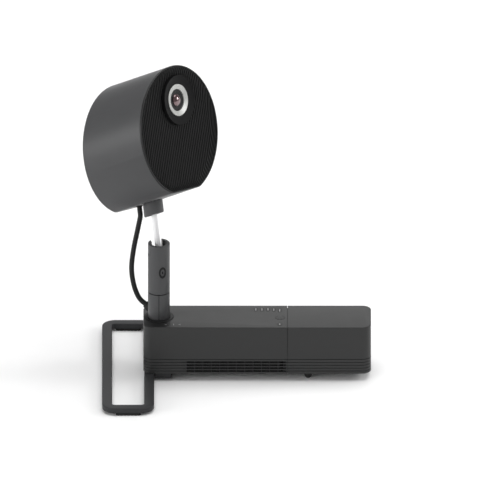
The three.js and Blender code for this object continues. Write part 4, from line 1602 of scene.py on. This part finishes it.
class PROJECTOR_OT_lens(bpy.types.Operator):
    """Lens bezel, light ring, stepped barrel and the two lenses"""

    bl_idname = "projector.lens"
    bl_label = "Lens"

    def execute(self, context):
        dish = [(22.2, 6), (22.2, 2.3), (22.6, 1.9)]
        dish += [(22.6 + 10.8 * k / 8, 1.9 - 2.2 * (k / 8) ** 1.5) for k in range(1, 9)]
        dish += [(33.9, -0.5), (34.2, -0.1), (34.2, 6)]
        self.around("lens_bezel_dish", dish, "bezel_plastic", "lens_bezel")
        ring = [(15, 6.6), (15, 3.9), (15.3, 3.5), (21.3, 1.75), (21.75, 1.9), (21.9, 2.3),
                (21.9, 6.6)]
        self.around("lens_light_ring", ring, "ring_finish", "lens_ring")

        barrel = [(14.6, 44), (14.6, 4.9), (14.2, 4.5), (13.7, 4.5), (13.4, 4.8)]
        for k in range(5):
            barrel += [(13.3 - 0.9 * k, 5.0 + 0.1 * k), (12.6 - 0.9 * k, 5.05 + 0.1 * k),
                       (12.5 - 0.9 * k, 5.3 + 0.1 * k)]
        barrel += [(8.6, 5.4), (8.6, 9), (12.8, 12), (12.8, 44)]
        self.around("lens_barrel_tube", barrel, "black_plastic", "lens_barrel")

        front = self.dome(8.4, 0.8, 3.5) + [(8.4, 8), (0, 8)]
        self.around("front_lens_glass", front, "coated_glass", "front_lens", looped=False)
        rear = self.dome(12.4, 30, 3) + [(12.4, 36), (0, 36)]
        self.around("rear_lens_glass", rear, "coated_glass", "rear_lens", looped=False)
        return {"FINISHED"}

    @staticmethod
    def dome(radius, top, sag):
        """Profile of a spherical cap from its middle out to its edge."""
        ball = (radius ** 2 + sag ** 2) / (2 * sag)
        return [(r, top + ball - math.sqrt(ball ** 2 - r ** 2))
                for r in (radius * k / 10 for k in range(11))]

    @staticmethod
    def around(name, profile, material, node, looped=True):
        """A (radius, depth) profile turned about the lens's own axis."""
        place = HEAD @ Matrix.Translation(Vector((LENS_X, DRUM_FRONT, LENS_Z)) * MM)
        made = new_object(name, along_y(lathe(profile, 128, looped)), place)
        return settled(made, material, node)


class PROJECTOR_OT_head_mount(bpy.types.Operator):
    """Skewed collar under the head, its bush and the cable's gland"""

    bl_idname = "projector.head_mount"
    bl_label = "Head mount"

    def execute(self, context):
        profile = [(13.85, -0.4), (13.85, -16.6), (13.4, -17.5), (12.6, -17.95), (7.4, -17.95),
                   (6.9, -17.4), (6.9, -0.4)]
        piece("collar_sleeve", moved(lathe(profile, 128, looped=True), DRUM_SHEAR), HEAD,
              "shell_plastic", "collar")
        piece("head_bush_sleeve", tube(6.6, ROD_RADIUS + 0.3, -14.5, -4.5, 0.25), HEAD,
              "component_plastic", "head_bush")

        profile = [(3.6, -6.4), (4.2, -6.4), (4.45, -5.9)]
        for k in range(3):
            profile += [(4.55, -5.0 + 1.5 * k), (4.15, -4.7 + 1.5 * k), (4.15, -4.2 + 1.5 * k)]
        profile += [(4.5, -0.2), (4.5, 4), (3.6, 4)]
        sleeve = shifted(lathe(profile, 48, looped=True), *CABLE_HOLE)
        piece("head_gland_sleeve", sleeve, HEAD, "soft_rubber", "head_cable_gland")
        return {"FINISHED"}


class PROJECTOR_OT_head_insides(bpy.types.Operator):
    """Light engine, heat sink, board and fan inside the head"""

    bl_idname = "projector.head_insides"
    bl_label = "Inside the head"

    def execute(self, context):
        slots = together(*[block(-30, 40, -12.5, -10.5, z, z + 1.6) for z in (107, 110.5, 114)])
        piece("light_engine_body", block(-24, 36, -12, 22, 104, 140), HEAD, "cast_aluminium",
              "light_engine", cuts=[block(-16, 30, 0, 30, 118, 150), slots], soften=(0.7,))
        low, _ = span("light_engine", HEAD)
        snout = tube(13.6, 11.4, 0, 3.4, 0.3)
        piece("light_engine_snout", shifted(along_y(snout), LENS_X, low.y, LENS_Z), HEAD,
              "cast_aluminium", body="head", slot="aluminium")

        fins = [block(-64, -60, -14, 24, 58, 112)]
        fins += [block(-60.5, -34, -14, 24, 59 + 3 * k, 60 + 3 * k) for k in range(18)]
        piece("heat_sink_fins", together(*fins), HEAD, "cast_aluminium", "heat_sink")

        piece("head_board_sheet", block(44, 45.6, -44, 16, 50, 96), HEAD, "board_lacquer",
              "head_board", soften=(0.3, 1))
        chips = [block(39, 44.2, -30, -12, 60, 80), block(41, 44.2, -4, 10, 66, 76),
                 block(42, 44.2, -38, -34, 54, 90)]
        piece("head_board_components", together(*chips), HEAD, "component_plastic", body="head",
              slot="black_plastic", soften=(0.4,))
        add_fan("head_fan", HEAD, (0, 78), size=60, bore=28, hub=10, frame_depth=13,
                tip=26.8, rotor_at=30.4, rotor_depth=9)
        return {"FINISHED"}


# ---- Panel and registration --------------------------------------------------------------------

STEPS = (
    PROJECTOR_OT_studio, PROJECTOR_OT_cable, PROJECTOR_OT_floor_frame, PROJECTOR_OT_box,
    PROJECTOR_OT_cable_cover, PROJECTOR_OT_keypad, PROJECTOR_OT_box_insides, PROJECTOR_OT_post,
    PROJECTOR_OT_pan_tube, PROJECTOR_OT_arm, PROJECTOR_OT_head_casing, PROJECTOR_OT_grille,
    PROJECTOR_OT_lens, PROJECTOR_OT_head_mount, PROJECTOR_OT_head_insides,
)


class PROJECTOR_PT_pieces(bpy.types.Panel):
    """Lists the steps that build the projector"""

    bl_idname = "PROJECTOR_PT_pieces"
    bl_label = "Projector"
    bl_space_type = "VIEW_3D"
    bl_region_type = "UI"
    bl_category = "Projector"

    def draw(self, context):
        for group in (context.scene.projector_colours, context.scene.projector_details):
            box = self.layout.box()
            for name in group.bl_rna.properties.keys():
                if name not in {"rna_type", "name"}:
                    box.prop(group, name)
        column = self.layout.column(align=True)
        for step in STEPS:
            column.operator(step.bl_idname)


CLASSES = (ProjectorColours, ProjectorDetails, *STEPS, PROJECTOR_PT_pieces)


def register():
    for cls in CLASSES:
        bpy.utils.register_class(cls)
    bpy.types.Scene.projector_colours = bpy.props.PointerProperty(type=ProjectorColours)
    bpy.types.Scene.projector_details = bpy.props.PointerProperty(type=ProjectorDetails)


def unregister():
    del bpy.types.Scene.projector_details
    del bpy.types.Scene.projector_colours
    for cls in reversed(CLASSES):
        bpy.utils.unregister_class(cls)


def main():
    register()
    for step in STEPS:
        name = step.bl_idname.split(".")[1]
        getattr(bpy.ops.projector, name)()


if __name__ == "__main__":
    main()
